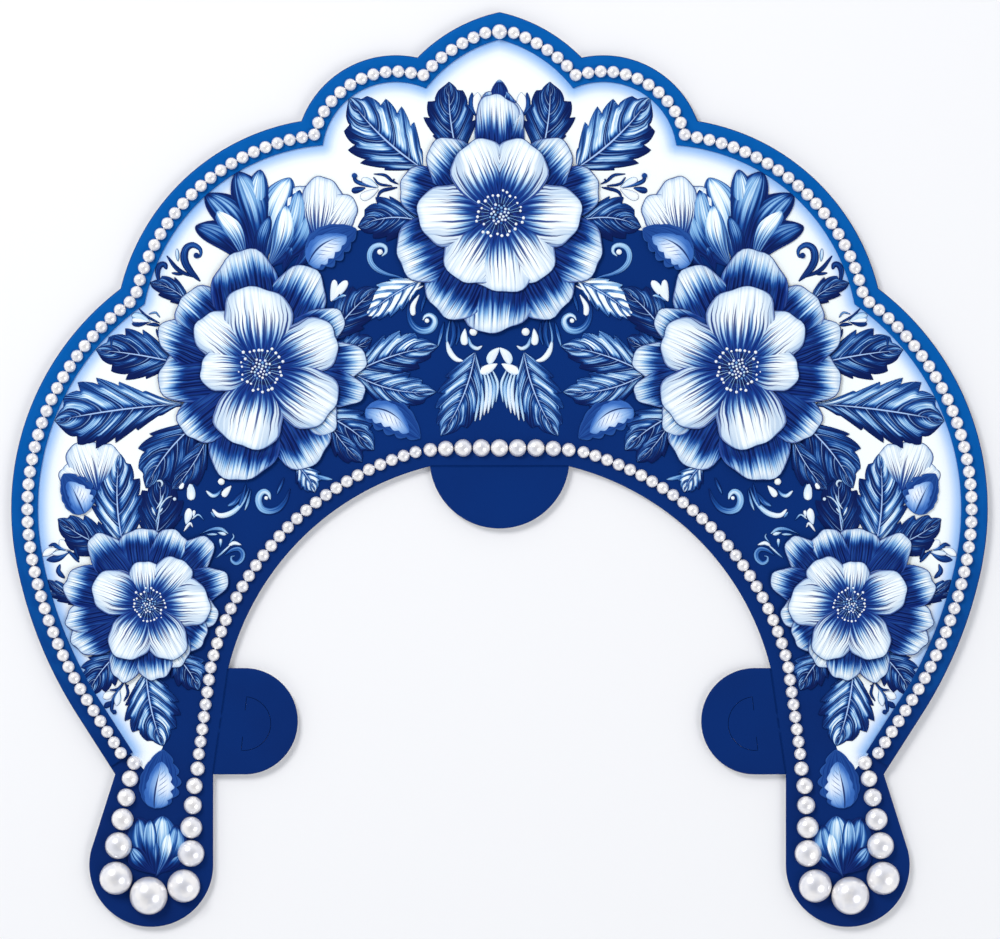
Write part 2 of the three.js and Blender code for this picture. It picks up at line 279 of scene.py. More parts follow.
def make_object(name, vertices, faces, materials, face_material=None, fields=None):
    """Mesh object from millimetre points, riding on the part's body."""
    mesh = bpy.data.meshes.new(name)
    mesh.from_pydata([tuple(v) for v in np.asarray(vertices) * MM], [], [tuple(f) for f in faces])
    for material in materials:
        mesh.materials.append(material)
    if face_material is not None:
        mesh.polygons.foreach_set("material_index", np.asarray(face_material, dtype=np.int32))
    for field, values in (fields or {}).items():
        layer = mesh.attributes.new(field, "FLOAT", "POINT")
        layer.data.foreach_set("value", np.asarray(values, dtype=np.float32))
    mesh.polygons.foreach_set("use_smooth", [True] * len(mesh.polygons))
    mesh.update()
    obj = add_to_scene(name, mesh)
    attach(obj, "root")
    return obj


def seal(obj, sharp_degrees, merge=None):
    """Join doubled points, face the mesh outwards and keep its sharp edges."""
    work = bmesh.new()
    work.from_mesh(obj.data)
    if merge:
        bmesh.ops.remove_doubles(work, verts=work.verts, dist=merge)
    bmesh.ops.recalc_face_normals(work, faces=work.faces)
    work.to_mesh(obj.data)
    work.free()
    obj.data.set_sharp_from_angle(angle=math.radians(sharp_degrees))


def lifted(line, z):
    """Flat points at a height, or at heights of their own."""
    return np.column_stack([line, np.broadcast_to(z, len(line))])


def ring_faces(rings, sides):
    """Quads round a stack of rings of points."""
    faces = []
    for ring in range(rings - 1):
        for k in range(sides):
            a, b = ring * sides + k, ring * sides + (k + 1) % sides
            faces.append((a, b, b + sides, a + sides))
    return faces


class Batch:
    """Vertices, faces and per-vertex values of many small shapes that make one mesh."""

    def __init__(self, *fields):
        self.vertices, self.faces, self.values = [], [], {f: [] for f in fields}
        self.count = 0

    def add(self, vertices, faces, **values):
        vertices = np.asarray(vertices, float)
        self.vertices.append(vertices)
        self.faces += [tuple(int(i) + self.count for i in f) for f in faces]
        for field, store in self.values.items():
            value = np.asarray(values.get(field, 0.0), float)
            store.append(np.broadcast_to(value, (len(vertices),)))
        self.count += len(vertices)

    def mirror_last(self):
        """Add the mirror image of the shape added last."""
        vertices = self.vertices[-1] * (-1, 1, 1)
        first = self.count - len(vertices)
        faces = [tuple(i - first for i in reversed(f)) for f in self.faces if min(f) >= first]
        self.add(vertices, faces, **{field: store[-1] for field, store in self.values.items()})

    def build(self, name, material, slot, flip=False):
        """One object of all the shapes, or of their mirror image."""
        vertices = np.concatenate(self.vertices) * (-1 if flip else 1, 1, 1)
        faces = [f[::-1] for f in self.faces] if flip else self.faces
        fields = {f: np.concatenate(v) for f, v in self.values.items()}
        return make_object(name, vertices, faces, [material], fields=fields)


# Materials

def operator(operation, swapped=False):
    def apply(self, other=0.0):
        return self.nodes.math(operation, *((other, self) if swapped else (self, other)))
    return apply


class Value:
    """Output of a node that can stand in a formula."""

    def __init__(self, nodes, socket):
        self.nodes, self.socket = nodes, socket

    __add__ = __radd__ = operator("ADD")
    __mul__ = __rmul__ = operator("MULTIPLY")
    __sub__, __rsub__ = operator("SUBTRACT"), operator("SUBTRACT", True)
    __truediv__, __pow__, __abs__ = operator("DIVIDE"), operator("POWER"), operator("ABSOLUTE")


class Nodes:
    """Short way to write a node material."""

    def __init__(self, name):
        self.material = bpy.data.materials.new(name)
        self.material.use_nodes = True
        self.tree = self.material.node_tree
        self.shader = self.tree.nodes["Principled BSDF"]

    def link(self, value, socket):
        if isinstance(value, Value):
            self.tree.links.new(value.socket, socket)
        else:
            socket.default_value = value

    def make(self, output, kind, inputs=None, **settings):
        node = self.tree.nodes.new("ShaderNode" + kind)
        for key, value in settings.items():
            setattr(node, key, value)
        for key, value in (inputs or {}).items():
            self.link(value, node.inputs[key])
        return Value(self, node.outputs[output])

    def math(self, operation, a, b=0.0):
        return self.make(0, "Math", {0: a, 1: b}, operation=operation)

    def fields(self, *names):
        return [self.make("Fac", "Attribute", attribute_name=name) for name in names]

    def vector(self, x, y, z=0.0):
        return self.make(0, "CombineXYZ", {0: x, 1: y, 2: z})

    def place(self):
        return self.make("Object", "TexCoord")

    def place_axis(self, axis):
        return self.make(axis, "SeparateXYZ", {0: self.place()})

    def noise(self, vector, scale=1.0, detail=2.0):
        return self.make("Fac", "TexNoise", {"Vector": vector, "Scale": scale, "Detail": detail})

    def smooth(self, value, low, high, start=0.0, end=1.0):
        inputs = {"Value": value, "From Min": low, "From Max": high, "To Min": start, "To Max": end}
        return self.make(0, "MapRange", inputs, interpolation_type="SMOOTHSTEP")

    def ramp(self, value, positions, colors):
        output = self.make(0, "ValToRGB", {0: value})
        elements = output.socket.node.color_ramp.elements
        while len(elements) < len(positions):
            elements.new(0.5)
        for element, position, color in zip(elements, positions, colors):
            element.position = position
            element.color = color
        return output

    def mix(self, share, a, b, blend="MIX"):
        output = self.make(2, "Mix", data_type="RGBA", blend_type=blend)
        for key, value in ((0, share), (6, a), (7, b)):
            self.link(value, output.socket.node.inputs[key])
        return output

    def bump(self, height, strength, distance):
        inputs = {"Height": height, "Strength": strength, "Distance": distance}
        self.link(self.make(0, "Bump", inputs), self.shader.inputs["Normal"])

    def finish(self, color, roughness, **sockets):
        self.link(color, self.shader.inputs["Base Color"])
        self.link(roughness, self.shader.inputs["Roughness"])
        for key, value in sockets.items():
            self.shader.inputs[key.replace("_", " ")].default_value = value
        return self.material


CLOTH_THREADS = 2.2                     # threads a millimetre
RIBBON_RIB = 0.45                       # millimetres
PAINT_SPECULAR = 0.05
TOOTH_TIP = 0.75                        # on a leaf: where a tooth is widest,
RIB_SWEEP, RIB_CURVE = 1.5, 1.5         # and how its ribs lean


def weave(n):
    """Plain weave height from two crossed waves."""
    scale = CLOTH_THREADS * math.pi / MM
    warp, weft = (n.math("SINE", n.place_axis(axis) * scale) for axis in (0, 1))
    return warp * weft


def navy_cloth():
    n = Nodes("navy_cloth")
    cloud = n.noise(n.place(), 30, 3)
    base = n.mix(n.smooth(n.place_axis(1), -0.15, 0.06), srgb(6, 37, 98), srgb(4, 43, 110))
    color = n.mix(n.smooth(cloud, 0.3, 0.7, 0.0, 0.3), base, srgb(7, 50, 121))
    n.bump(weave(n), 0.12, 0.0001)
    roughness = n.smooth(cloud, 0.3, 0.7, 0.62, 0.74)
    return n.finish(color, roughness, Specular_IOR_Level=PAINT_SPECULAR)


def white_ground():
    """White, with painted blue shade running in from the ribbon's edge. Edge is the distance from
    it.
    """
    n = Nodes("white_ground")
    edge, = n.fields("edge")
    wash = n.noise(n.place(), 45, 3)
    # Painted shade of the ribbon: the white turns blue near its edge, mottled by the wash noise
    strength = n.smooth(edge, 0.0, 6.2, 1.0, 0.0) * n.smooth(wash, 0.25, 0.75, 0.85, 1.0)
    color = n.ramp(strength, (0.0, 0.35, 0.75, 1.0),
                   (WHITE, srgb(228, 238, 251), srgb(180, 208, 244), srgb(134, 180, 234)))
    n.bump(weave(n), 0.08, 0.0001)
    return n.finish(color, 0.7, Specular_IOR_Level=0.15)


def bare_card():
    n = Nodes("bare_card")
    fibre = n.noise(n.place(), 900, 4)
    cloud = n.noise(n.place(), 60, 3)
    color = n.mix(n.smooth(fibre, 0.35, 0.7), srgb(214, 211, 204), srgb(232, 230, 225))
    color = n.mix(n.smooth(cloud, 0.4, 0.7, 0.0, 0.3), color, srgb(204, 201, 195))
    n.bump(fibre, 0.2, 0.0001)
    return n.finish(color, 0.85)


def satin_ribbon():
    n = Nodes("satin_ribbon")
    along, across = n.fields("along", "across")
    height = n.place_axis(1)
    sheen = n.noise(n.vector(along * 0.05, across), 2.0)
    color = n.ramp(n.smooth(height, -0.10, 0.03), (0.0, 0.06, 0.5, 1.0),
                   (srgb(6, 40, 103), srgb(9, 50, 118), srgb(7, 72, 146), srgb(4, 88, 166)))
    glint = n.smooth(sheen, 0.35, 0.7, 0.0, 0.25) * n.smooth(height, -0.094, -0.06)
    color = n.mix(glint, color, srgb(12, 100, 180))
    n.bump(n.math("SINE", along * (2 * math.pi / RIBBON_RIB)), 0.12, 0.0001)
    return n.finish(color, n.smooth(sheen, 0.3, 0.7, 0.40, 0.52), Specular_IOR_Level=0.03)


def pearl_lustre():
    n = Nodes("pearl_lustre")
    cloud = n.noise(n.place(), 260)
    color = n.mix(n.smooth(cloud, 0.35, 0.65), srgb(230, 230, 236), srgb(247, 244, 243))
    return n.finish(color, 0.24, Metallic=0.40, Coat_Weight=0.7, Coat_Roughness=0.06,
                    Specular_IOR_Level=0.6)


def thread_white():
    n = Nodes("thread_white")
    twist = n.noise(n.place(), 2500)
    n.bump(twist, 0.3, 0.0001)
    return n.finish(n.mix(twist, srgb(170, 184, 210), srgb(214, 222, 236)), 0.6)


def streaks(n, broad_count, fine_count):
    """Two noises drawn out along a petal: a broad one and a fine one."""
    u, v, seed = n.fields("u", "v", "seed")
    broad = n.noise(n.vector(v * broad_count + seed * 17.0, u * 0.6, seed * 5.0))
    fine = n.noise(n.vector(v * fine_count + seed * 31.0, u * 1.1, seed * 7.0))
    return broad, fine


def tapered_lines(n, count, shift, low, high):
    """Thin lines along a petal, each running out to a point at its own length, low to high."""
    u, v, seed = n.fields("u", "v", "seed")
    x = v * count + (seed * 13.0 + shift)
    chance = n.make("Value", "TexWhiteNoise", {"W": n.math("FLOOR", x)}, noise_dimensions="1D")
    off = abs(n.math("FRACT", x) - 0.5) * 2.0
    left = n.math("MAXIMUM", 1.0 - u / (chance * (high - low) + low), 0.0)
    width = left ** 0.95 * 0.95 - 0.06
    return n.smooth(width - off, -0.07, 0.07)


def paint_edge(n, color, edge, share, shade):
    """Painted shadow line just inside a petal's edge, and a dark rim."""
    rim, = n.fields("rim")
    color = n.mix(n.smooth(edge, 0.93, 0.985, 0.0, share), color, shade)
    return n.mix(n.smooth(rim, 0.15, 0.6), color, srgb(10, 30, 90))


def finish_petal(n, color, fine):
    n.bump(fine, 0.35, 0.0003)
    roughness = n.smooth(fine, 0.3, 0.7, 0.55, 0.66)
    return n.finish(color, roughness, Specular_IOR_Level=PAINT_SPECULAR)


def petal_paint():
    """Petal: blue at its root, streaked out to a white edge. Tone is where the blue ends."""
    n = Nodes("petal_paint")
    u, edge, tone = n.fields("u", "edge", "tone")
    broad, fine = streaks(n, 3.2, 12.0)
    reach = (u - tone) / (1.12 - tone) * (tone * -0.75 + 1.55)
    reach = reach + (broad - 0.5) * 0.45 + (fine - 0.5) * 0.75 + edge ** 4.0 * 0.24
    color = n.ramp(reach, (0.0, 0.12, 0.24, 0.38, 0.50, 0.66), DARK_TO_LIGHT)
    glow = n.smooth(fine, 0.46, 0.66) * n.smooth(u, 0.25, 0.7)
    color = n.mix(glow * n.smooth(reach, 0.25, -0.1, 0.0, 0.75), color, srgb(46, 100, 184))
    short_end, long_end = tone * 0.62 + 0.46, tone * 0.30 + 0.84
    lines = tapered_lines(n, 4.6, 0.0, short_end, long_end)
    color = n.mix(lines * 0.90, color, srgb(16, 46, 120))
    lines = tapered_lines(n, 8.5, 5.3, short_end, long_end + 0.12)
    color = n.mix(lines * 0.75, color, srgb(26, 62, 142))
    color = n.mix(n.smooth(fine, 0.58, 0.34, 0.0, 0.55), color, srgb(176, 198, 226), "MULTIPLY")
    # Painted shade: the petal darkens towards its edges
    color = n.mix(n.smooth(edge, 0.45, 1.0, 0.0, 0.8), color, srgb(178, 202, 230), "MULTIPLY")
    return finish_petal(n, paint_edge(n, color, edge, 0.75, srgb(48, 78, 156)), fine)


def leaf_paint():
    """Leaf: a side vein to each tooth, strokes along the veins, one half lit. Tone darkens it."""
    n = Nodes("leaf_paint")
    u, v, seed, tone = n.fields("u", "v", "seed", "tone")
    teeth, swing, rim = n.fields("teeth", "swing", "rim")
    side, sign = abs(v), n.math("SIGN", v)
    cloud = n.noise(n.vector(u * 2.6, v * 1.4, seed * 9.0))
    rib = u * teeth + (sign * -0.25 + (0.25 + RIB_SWEEP - TOOTH_TIP))
    rib = rib - side ** RIB_CURVE * RIB_SWEEP + (cloud - 0.5) * 0.16
    cell = n.math("FRACT", rib)
    hair = n.noise(n.vector(rib * 13.0 + seed * 9.0, side, sign * 4.0))
    light = n.smooth(cell, 0.05, 0.55) * n.smooth(cell, 1.0, 0.72)
    light = light * (n.smooth(side, 0.02, 0.30) * n.smooth(side, 1.05, 0.62))
    value = light * (0.92 - tone * 0.70) + (hair - 0.5) * 1.55 + (cloud - 0.5) * 0.7
    value = value + swing * v * 0.20 + (0.28 - tone * 0.30)
    color = n.ramp(value, (0.0, 0.22, 0.44, 0.68, 0.90, 1.0), DARK_TO_LIGHT)
    dark = n.smooth(cell, 0.90, 1.0) * n.smooth(side, 0.98, 0.6)
    color = n.mix(dark * 0.6, color, DEEP)
    vein = n.smooth(cell, 0.09, 0.02) * n.smooth(side, 0.85, 0.25)
    color = n.mix(vein * 0.55, color, srgb(150, 192, 246))
    midrib = n.smooth(side / (u * -0.03 + 0.05), 1.0, 0.45) * n.smooth(u, 0.97, 0.7)
    color = n.mix(midrib * 0.9, color, srgb(176, 208, 252))
    color = n.mix(n.smooth(rim, 0.15, 0.6), color, DEEP)
    n.bump(light + hair, 0.35, 0.0003)
    return n.finish(color, 0.6, Specular_IOR_Level=PAINT_SPECULAR)


def tulip_paint():
    """Pointed petal: dark edge and root, light strokes in the middle. Tone darkens it."""
    n = Nodes("tulip_paint")
    u, edge, tone = n.fields("u", "edge", "tone")
    broad, fine = streaks(n, 2.4, 7.0)
    value = (fine - 0.5) * 1.1 + (tone * -0.55 + 0.40) + (broad - 0.5) * 0.8
    value = value + n.smooth(u, 0.30, 0.75) * n.smooth(edge, 1.0, 0.35) * 0.50
    color = n.ramp(value, (0.0, 0.18, 0.40, 0.64, 0.84, 1.0), DARK_TO_LIGHT)
    color = n.mix(tapered_lines(n, 3.0, 2.7, 0.45, 0.95) * 0.7, color, srgb(16, 46, 120))
    return finish_petal(n, paint_edge(n, color, edge, 0.6, srgb(30, 60, 140)), fine)


def bud_paint():
    """Soft bud: a painted highlight beside a dark midline and painted shade past it, with short
    veins. Tone 1 is the petal behind.
    """
    n = Nodes("bud_paint")
    u, v, tone, edge = n.fields("u", "v", "tone", "edge")
    _, fine = streaks(n, 3.0, 9.0)
    # Painted light and shade: lightest to one side of the midline, darker past it
    along, aside = (u - 0.52) * 1.85, v * 0.72 + 0.22
    far = n.math("SQRT", along * along + aside * aside)
    far = far + (fine - 0.5) * 0.40 + n.smooth(v, 0.16, 0.34, 0.0, 0.12)
    color = n.ramp(far, (0.0, 0.28, 0.55, 0.85, 1.0),
                   (srgb(240, 246, 252), srgb(214, 228, 247), srgb(150, 186, 231),
                    srgb(82, 130, 201), srgb(54, 102, 180)))
    wave = n.math("SINE", (v * 2.6 + u * 8.5) * (2 * math.pi))
    veins = n.smooth(wave, 0.70, 0.96, 0.0, 0.75) * n.smooth(v, -0.62, -0.25)
    veins = veins * n.smooth(v, -0.05, 0.16, 1.0, 0.0)
    veins = veins * (n.smooth(u, 0.20, 0.34) * n.smooth(u, 0.72, 0.92, 1.0, 0.0))
    color = n.mix(veins, color, srgb(44, 84, 152))
    bow = u - 0.42
    middle = abs(v - (bow * bow * -0.7 + 0.26)) - n.smooth(u, 0.30, 0.92, 0.055, 0.0)
    color = n.mix(n.smooth(middle, -0.01, 0.03, 0.95, 0.0), color, srgb(14, 42, 104))
    behind = n.mix(n.smooth(fine, 0.35, 0.65), srgb(18, 54, 126), srgb(34, 78, 152))
    # Painted highlight along the back petal's edge
    behind = n.mix(n.smooth(edge, 0.86, 1.0, 0.0, 0.4), behind, srgb(48, 94, 168))
    n.bump(fine, 0.3, 0.0003)
    return n.finish(n.mix(tone, color, behind), 0.6, Specular_IOR_Level=PAINT_SPECULAR)


def brush_paint():
    """Brush stroke: from pale to dark by tone, which swings from the stroke's start to its end."""
    n = Nodes("brush_paint")
    u, v, seed, tone, swing, rim = n.fields("u", "v", "seed", "tone", "swing", "rim")
    streak = n.noise(n.vector(v * 2.6, u * 1.4, seed * 9.0))
    # The v * v term is painted shade towards the stroke's sides
    value = swing * u + tone + (streak - 0.5) * 0.75 + v * v * 0.20
    color = n.ramp(value, (0.0, 0.22, 0.40, 0.60, 0.80, 1.0),
                   (WHITE, srgb(226, 235, 250), PALE, SKY, BLUE, NAVY))
    color = n.mix(n.smooth(rim, 0.15, 0.6, 0.0, 0.85), color, srgb(12, 40, 104))
    n.bump(streak, 0.3, 0.0002)
    return n.finish(color, 0.55, Specular_IOR_Level=PAINT_SPECULAR)


def heart_paint():
    n = Nodes("heart_paint")
    cloud = n.noise(n.place(), 700, 3)
    color = n.mix(n.smooth(cloud, 0.35, 0.7), DEEP, srgb(18, 56, 138))
    n.bump(cloud, 0.4, 0.0003)
    return n.finish(color, 0.65, Specular_IOR_Level=0.15)


CLOTH, GROUND, CARD = navy_cloth(), white_ground(), bare_card()
SATIN, LUSTRE, THREAD = satin_ribbon(), pearl_lustre(), thread_white()
PETAL, LEAF, TULIP, BUD = petal_paint(), leaf_paint(), tulip_paint(), bud_paint()
BRUSH, HEART = brush_paint(), heart_paint()


# Board: white ground and navy field on the front, rounded rim, creases and slits, bare card behind

ON_CLOTH, ON_GROUND, ON_CARD = range(3)     # materials of its faces


def crease_lines(a, b):
    """The two banks of a crease and the valley between them, clear of the outline."""
    a, b = a + (b - a) * CREASE_CLEAR, b + (a - b) * CREASE_CLEAR
    across = np.array([-(b - a)[1], (b - a)[0]]) / np.linalg.norm(b - a) * CREASE_WIDTH / 2
    return [segment(a + s * across, b + s * across, CREASE_STEP) for s in (-1, 0, 1)]


def triangulate(points, edges, outline, holes, up):
    """Triangles between an outline and its holes, with their middles, all facing up or down."""
    result = delaunay_2d_cdt([Vector(p) for p in points], edges, [], 0, 1e-5)
    flat = np.array([[v.x, v.y] for v in result[0]])
    tris = np.array(result[2])
    middles = flat[tris].mean(axis=1)
    good = inside(middles, outline)
    for hole in holes:
        good &= ~inside(middles, hole)
    tris = tris[good]
    ab, ac = (flat[tris[:, k]] - flat[tris[:, 0]] for k in (1, 2))
    turn = ab[:, 0] * ac[:, 1] - ab[:, 1] * ac[:, 0]
    wrong = turn < 0 if up else turn > 0
    tris[wrong] = tris[wrong][:, ::-1]
    return flat, tris, middles[good]


def build_board():
    """Front meshed round its lines and a lattice, then the rim, the slits' walls and the back."""
    half, side_crease, front_crease = sheet_half()
    loop = np.array(half + mirrored(half)[1:-1])
    along = np.roll(loop, -1, axis=0) - np.roll(loop, 1, axis=0)
    along /= np.linalg.norm(along, axis=1)[:, None]
    inward = np.stack([along[:, 1], -along[:, 0]], axis=1)
    front = loop + inward * EDGE_ROUND
    slits = [stroke(slit_line(), SLIT_WIDTH)]
    slits.append(mirrored(slits[0]))
    creases = [crease_lines(*side_crease), crease_lines(*front_crease)]
    creases.append([mirrored(line) for line in creases[0]])
    ground = smooth_line([spot(*p) for p in GROUND_LINE], per_span=10)[::-1]
    edge = scallop_path(RIBBON_INNER - GROUND_TUCK, GROUND_STEP, GROUND_END)
    white_loop = mirrored(edge)[:1] + ground[:-1] + mirrored(ground) + edge[::-1]
    white_loop += mirrored(edge[1:-1])[::-1]

    points, edges = [], []

    def chain(line, closed):
        first = len(points)
        points.extend(line)
        edges.extend((first + i, first + i + 1) for i in range(len(line) - 1))
        if closed:
            edges.append((len(points) - 1, first))

    for line in (front, *slits):
        chain(line, True)
    fixed = len(points)
    chain(white_loop, True)
    for lines in creases:
        for line in lines:
            chain(line, False)
    low, high = loop.min(axis=0), loop.max(axis=0)
    xs, ys = np.meshgrid(*(np.arange(low[k], high[k], LATTICE) for k in (0, 1)))
    lattice = np.stack([xs.ravel(), ys.ravel()], axis=1)
    keep = inside(lattice, front)
    keep &= distance_to(lattice, np.vstack([front, front[:1]])) > OUTLINE_GAP
    taken = np.array(points[len(front):])
    for i, p in enumerate(lattice):
        keep[i] = keep[i] and np.linalg.norm(taken - p, axis=1).min() > LINE_GAP
    points.extend(lattice[keep])

    flat, tris, middles = triangulate(points, edges, front, slits, True)
    valleys = {tuple(np.round(p, 4)) for lines in creases for p in lines[1]}
    sunk = np.array([tuple(p) in valleys for p in np.round(flat, 4)])
    vertices = [lifted(flat, BOARD_TOP - CREASE_DEPTH * sunk)]
    faces = list(tris)
    looks = list(np.where(inside(middles, white_loop), ON_GROUND, ON_CLOTH))
    base = len(flat)

    def wall(rings, flip, rows):
        """Faces round a stack of rings, with a count and a material for each row."""
        nonlocal base
        vertices.extend(rings)
        for face in ring_faces(len(rings), len(rings[0])):
            faces.append(tuple(base + i for i in (face[::-1] if flip else face)))
        for count, look in rows:
            looks.extend([look] * count * len(rings[0]))
        base += len(rings) * len(rings[0])

    bevel = EDGE_ROUND * 0.3
    levels = [(EDGE_ROUND, BOARD_TOP), (bevel, BOARD_TOP - bevel), (0.0, BOARD_TOP - EDGE_ROUND),
              (0.0, EDGE_ROUND), (bevel, bevel), (EDGE_ROUND, 0.0)]
    wall([lifted(loop + inward * inset, z) for inset, z in levels], True,
         [(3, ON_CLOTH), (2, ON_CARD)])
    for slit in slits:
        wall([lifted(slit, z) for z in (BOARD_TOP, 0.0)], False, [(1, ON_CLOTH)])
    flat, tris, _ = triangulate(points[:fixed], edges[:fixed], front, slits, False)
    vertices.append(lifted(flat, 0.0))
    faces += [tuple(t + base) for t in tris]
    looks += [ON_CARD] * len(tris)

    vertices = np.concatenate(vertices)
    ribbon_edge = both_halves(scallop_path(RIBBON_INNER, 1.0, RIBBON_END))
    board = make_object("covered_board", vertices, faces, [CLOTH, GROUND, CARD],
                        face_material=looks,
                        fields={"edge": distance_to(vertices[:, :2], ribbon_edge[::2])})
    seal(board, sharp_degrees=40, merge=2e-6)
    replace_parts(board, "crest_board")


def build_ribbon():
    """Ribbon with a low crown and rolled edges, swept between two set-in lines."""
    lines = [both_halves(ribbon_path(RIBBON_OUTER + (RIBBON_INNER - RIBBON_OUTER) * share))
             for share, _ in RIBBON_PROFILE]
    size, count = len(lines), len(lines[0])
    middle = lines[size // 2 - 1]
    travelled = np.append(0, np.cumsum(np.linalg.norm(np.diff(middle, axis=0), axis=1)))
    vertices = [lifted(line, RIBBON_BASE + RIBBON_THICK * height)
                for line, (_, height) in zip(lines, RIBBON_PROFILE)]
    faces = []
    for k in range(size):
        n = (k + 1) % size
        for i in range(count - 1):
            faces.append((k * count + i, n * count + i, n * count + i + 1, k * count + i + 1))
    faces.append(tuple(k * count for k in reversed(range(size))))
    faces.append(tuple(k * count + count - 1 for k in range(size)))
    across = np.repeat([share for share, _ in RIBBON_PROFILE], count)
    ribbon = make_object("blue_ribbon", np.concatenate(vertices), faces, [SATIN],
                         fields={"along": np.tile(travelled, size), "across": across})
    seal(ribbon, sharp_degrees=50)
    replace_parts(ribbon, "edge_ribbon")


# Pearls, beads and threads

def quarter(rings):
    """Cosine and sine at even steps up a quarter circle, without its top."""
    return [(math.cos(a), math.sin(a)) for a in (math.pi / 2 * k / rings for k in range(rings))]


def turned(batch, x, y, profile, sides, crown=None, **values):
    """Solid turned from (radius, z) rows, flat at the foot, and flat or crowned on top."""
    angles = [2 * math.pi * k / sides for k in range(sides)]
    vertices = [(x + r * math.cos(t), y + r * math.sin(t), z) for r, z in profile for t in angles]
    faces = ring_faces(len(profile), sides)
    top = len(vertices)
    last = range(top - sides, top)
    if crown is None:
        faces.append(tuple(last))
    else:
        faces += [(last[k], last[(k + 1) % sides], top) for k in range(sides)]
        vertices.append((x, y, crown))
    faces.append(tuple(reversed(range(sides))))
    batch.add(vertices, faces, **values)


def dome(batch, x, y, z, radius, sides, rings):
    """Flat-backed pearl: a half ball on a short upright skirt."""
    profile = [(0.90, 0.0), (0.985, 0.05), (1.0, PEARL_SKIRT)]
    profile += [(c, PEARL_SKIRT + (1 - PEARL_SKIRT) * s) for c, s in quarter(rings)[1:]]
    turned(batch, x, y, [(radius * r, z + radius * h) for r, h in profile], sides, z + radius)


def bead(batch, x, y, z, radius, sides=10, rings=4, **values):
    """Small half ball on a short foot."""
    profile = [(radius * r, z + radius * h) for r, h in [(1.0, -0.5)] + quarter(rings)]
    turned(batch, x, y, profile, sides, z + radius, **values)


def tube(batch, points, radius, sides, **values):
    """Round tube through points, closed at both ends."""
    p = np.array(points, float)
    vertices = []
    for q, d in zip(p, directions(p)):
        side = np.array([-d[1], d[0], 0.0])
        side /= max(np.linalg.norm(side), 1e-9)
        up = np.cross(d, side)
        for t in (2 * math.pi * k / sides for k in range(sides)):
            vertices.append(q + radius * (side * math.cos(t) + up * math.sin(t)))
    faces = ring_faces(len(p), sides)
    faces.append(tuple(reversed(range(sides))))
    faces.append(tuple(range((len(p) - 1) * sides, len(p) * sides)))
    batch.add(vertices, faces, **values)


def string_line(node):
    """Middles of a string's pearls in their order, read from the crowns of its solid."""
    points = np.array([v.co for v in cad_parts[node].data.vertices]) / MM
    top = points[:, 2].max()
    left = sorted({tuple(np.round(p[:2], 3)) for p in points if p[2] > top - 0.01})
    order = [max(left, key=lambda p: p[1])]
    left.remove(order[0])
    while left:
        order.append(min(left, key=lambda p: math.dist(p, order[-1])))
        left.remove(order[-1])
    return np.array(order)


def build_string(node):
    line = string_line(node)
    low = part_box(node)[0][2] / MM
    pitch = np.median(np.linalg.norm(np.diff(line, axis=0), axis=1))
    pearls, thread = Batch(), Batch()
    for x, y in line:
        dome(pearls, x, y, low - PEARL_SINK, pitch * PEARL_FILL, *SMALL_PEARL)
    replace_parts(pearls.build(node + "_set", LUSTRE, "pearl"), node)
    for a, b in zip(line[:-1], line[1:]):
        tube(thread, [(*a, low + THREAD_RISE), (*b, low + THREAD_RISE)], THREAD_RADIUS, sides=8)
    thread.build(node + "_thread", THREAD, "pearl")


def build_graded(name, nodes):
    batch = Batch()
    for node in nodes:
        low, high = (np.array(corner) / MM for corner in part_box(node))
        middle = (low + high) / 2
        radius = (high[1] - low[1]) / 2
        dome(batch, middle[0], middle[1], low[2] - PEARL_SINK, radius, *LARGE_PEARL)
    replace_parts(batch.build(name, LUSTRE, "pearl"), *nodes)


# Petals, leaves and strokes: closed thin blades with the place on the blade stored at each point

FIELDS = ("u", "v", "edge", "rim", "seed", "tone", "teeth", "swing")
ROUND_ROWS = np.sin(np.linspace(0, math.pi / 2, 19))
LONG_ROWS = np.sin(np.linspace(0, math.pi / 2, 24))
# Sheets: columns across, thickness, width of the dark outline
PETAL_SHEET, LEAF_SHEET = (17, 0.35, 0.24), (13, 0.30, 0.14)
BUD_SHEET, STROKE_SHEET = (13, 0.30, 0.12), (7, 0.30, 0.16)
PETAL_ROOT = 0.17                       # width at the root, as a share
PETAL_SIDES, PETAL_HEAD = 1.2, 2.6      # powers that shape the sides and round the head
PETAL_LOBES = ((0.060, 3), (0.022, 8))  # depth and count of the head's waves
PETAL_FOLDS = ((0.06, 8), (0.04, 15))   # height and count of the folds along it
LEAF_ROOT = 0.08                        # width at the root, as a share
LEAF_POWER, POINTED_POWER = 0.8, 0.62   # fullness with teeth and without, fuller where lower
TOOTH_FOOT, TOOTH_REACH = 0.86, 0.24    # width between the teeth, and what a tooth adds to it
SIDE_LEAN, TOOTH_LEAN = 0.10, 0.30      # how far the sides and the teeth lean towards the tip
ROWS_PER_TOOTH = 8
MIDRIB_DEPTH, MIDRIB_WIDTH, RIB_HEIGHT = 0.12, 0.10, 0.05
BUD_HEIGHT, STROKE_HEIGHT = 0.45, 0.42
BUD_LOBES, BUD_BELLY, BUD_ROOT = 5, 0.78, 0.05
DEEP_NOTCH, SHALLOW_NOTCH = 0.24, 0.06  # between the lobes of a bud's two edges
STROKE_POWER, STROKE_TIP = 0.7, 0.10    # fullness, and width at the ends, as a share
BUD_LAYERS = [
    # tone, share of the length, of the width, of the bend, rise in millimetres, roundness
    (1, 1.0, 1.0, 1.0, 0.0, 0.66),
    (0, 0.80, 0.70, 1.3, 0.16, 0.46),
]


def pointed(u, belly, power):
    """Width along a shape that is pointed at both ends, as a share of its greatest width."""
    return math.sin(math.pi * u ** belly) ** power if 0 < u < 1 else 0.0


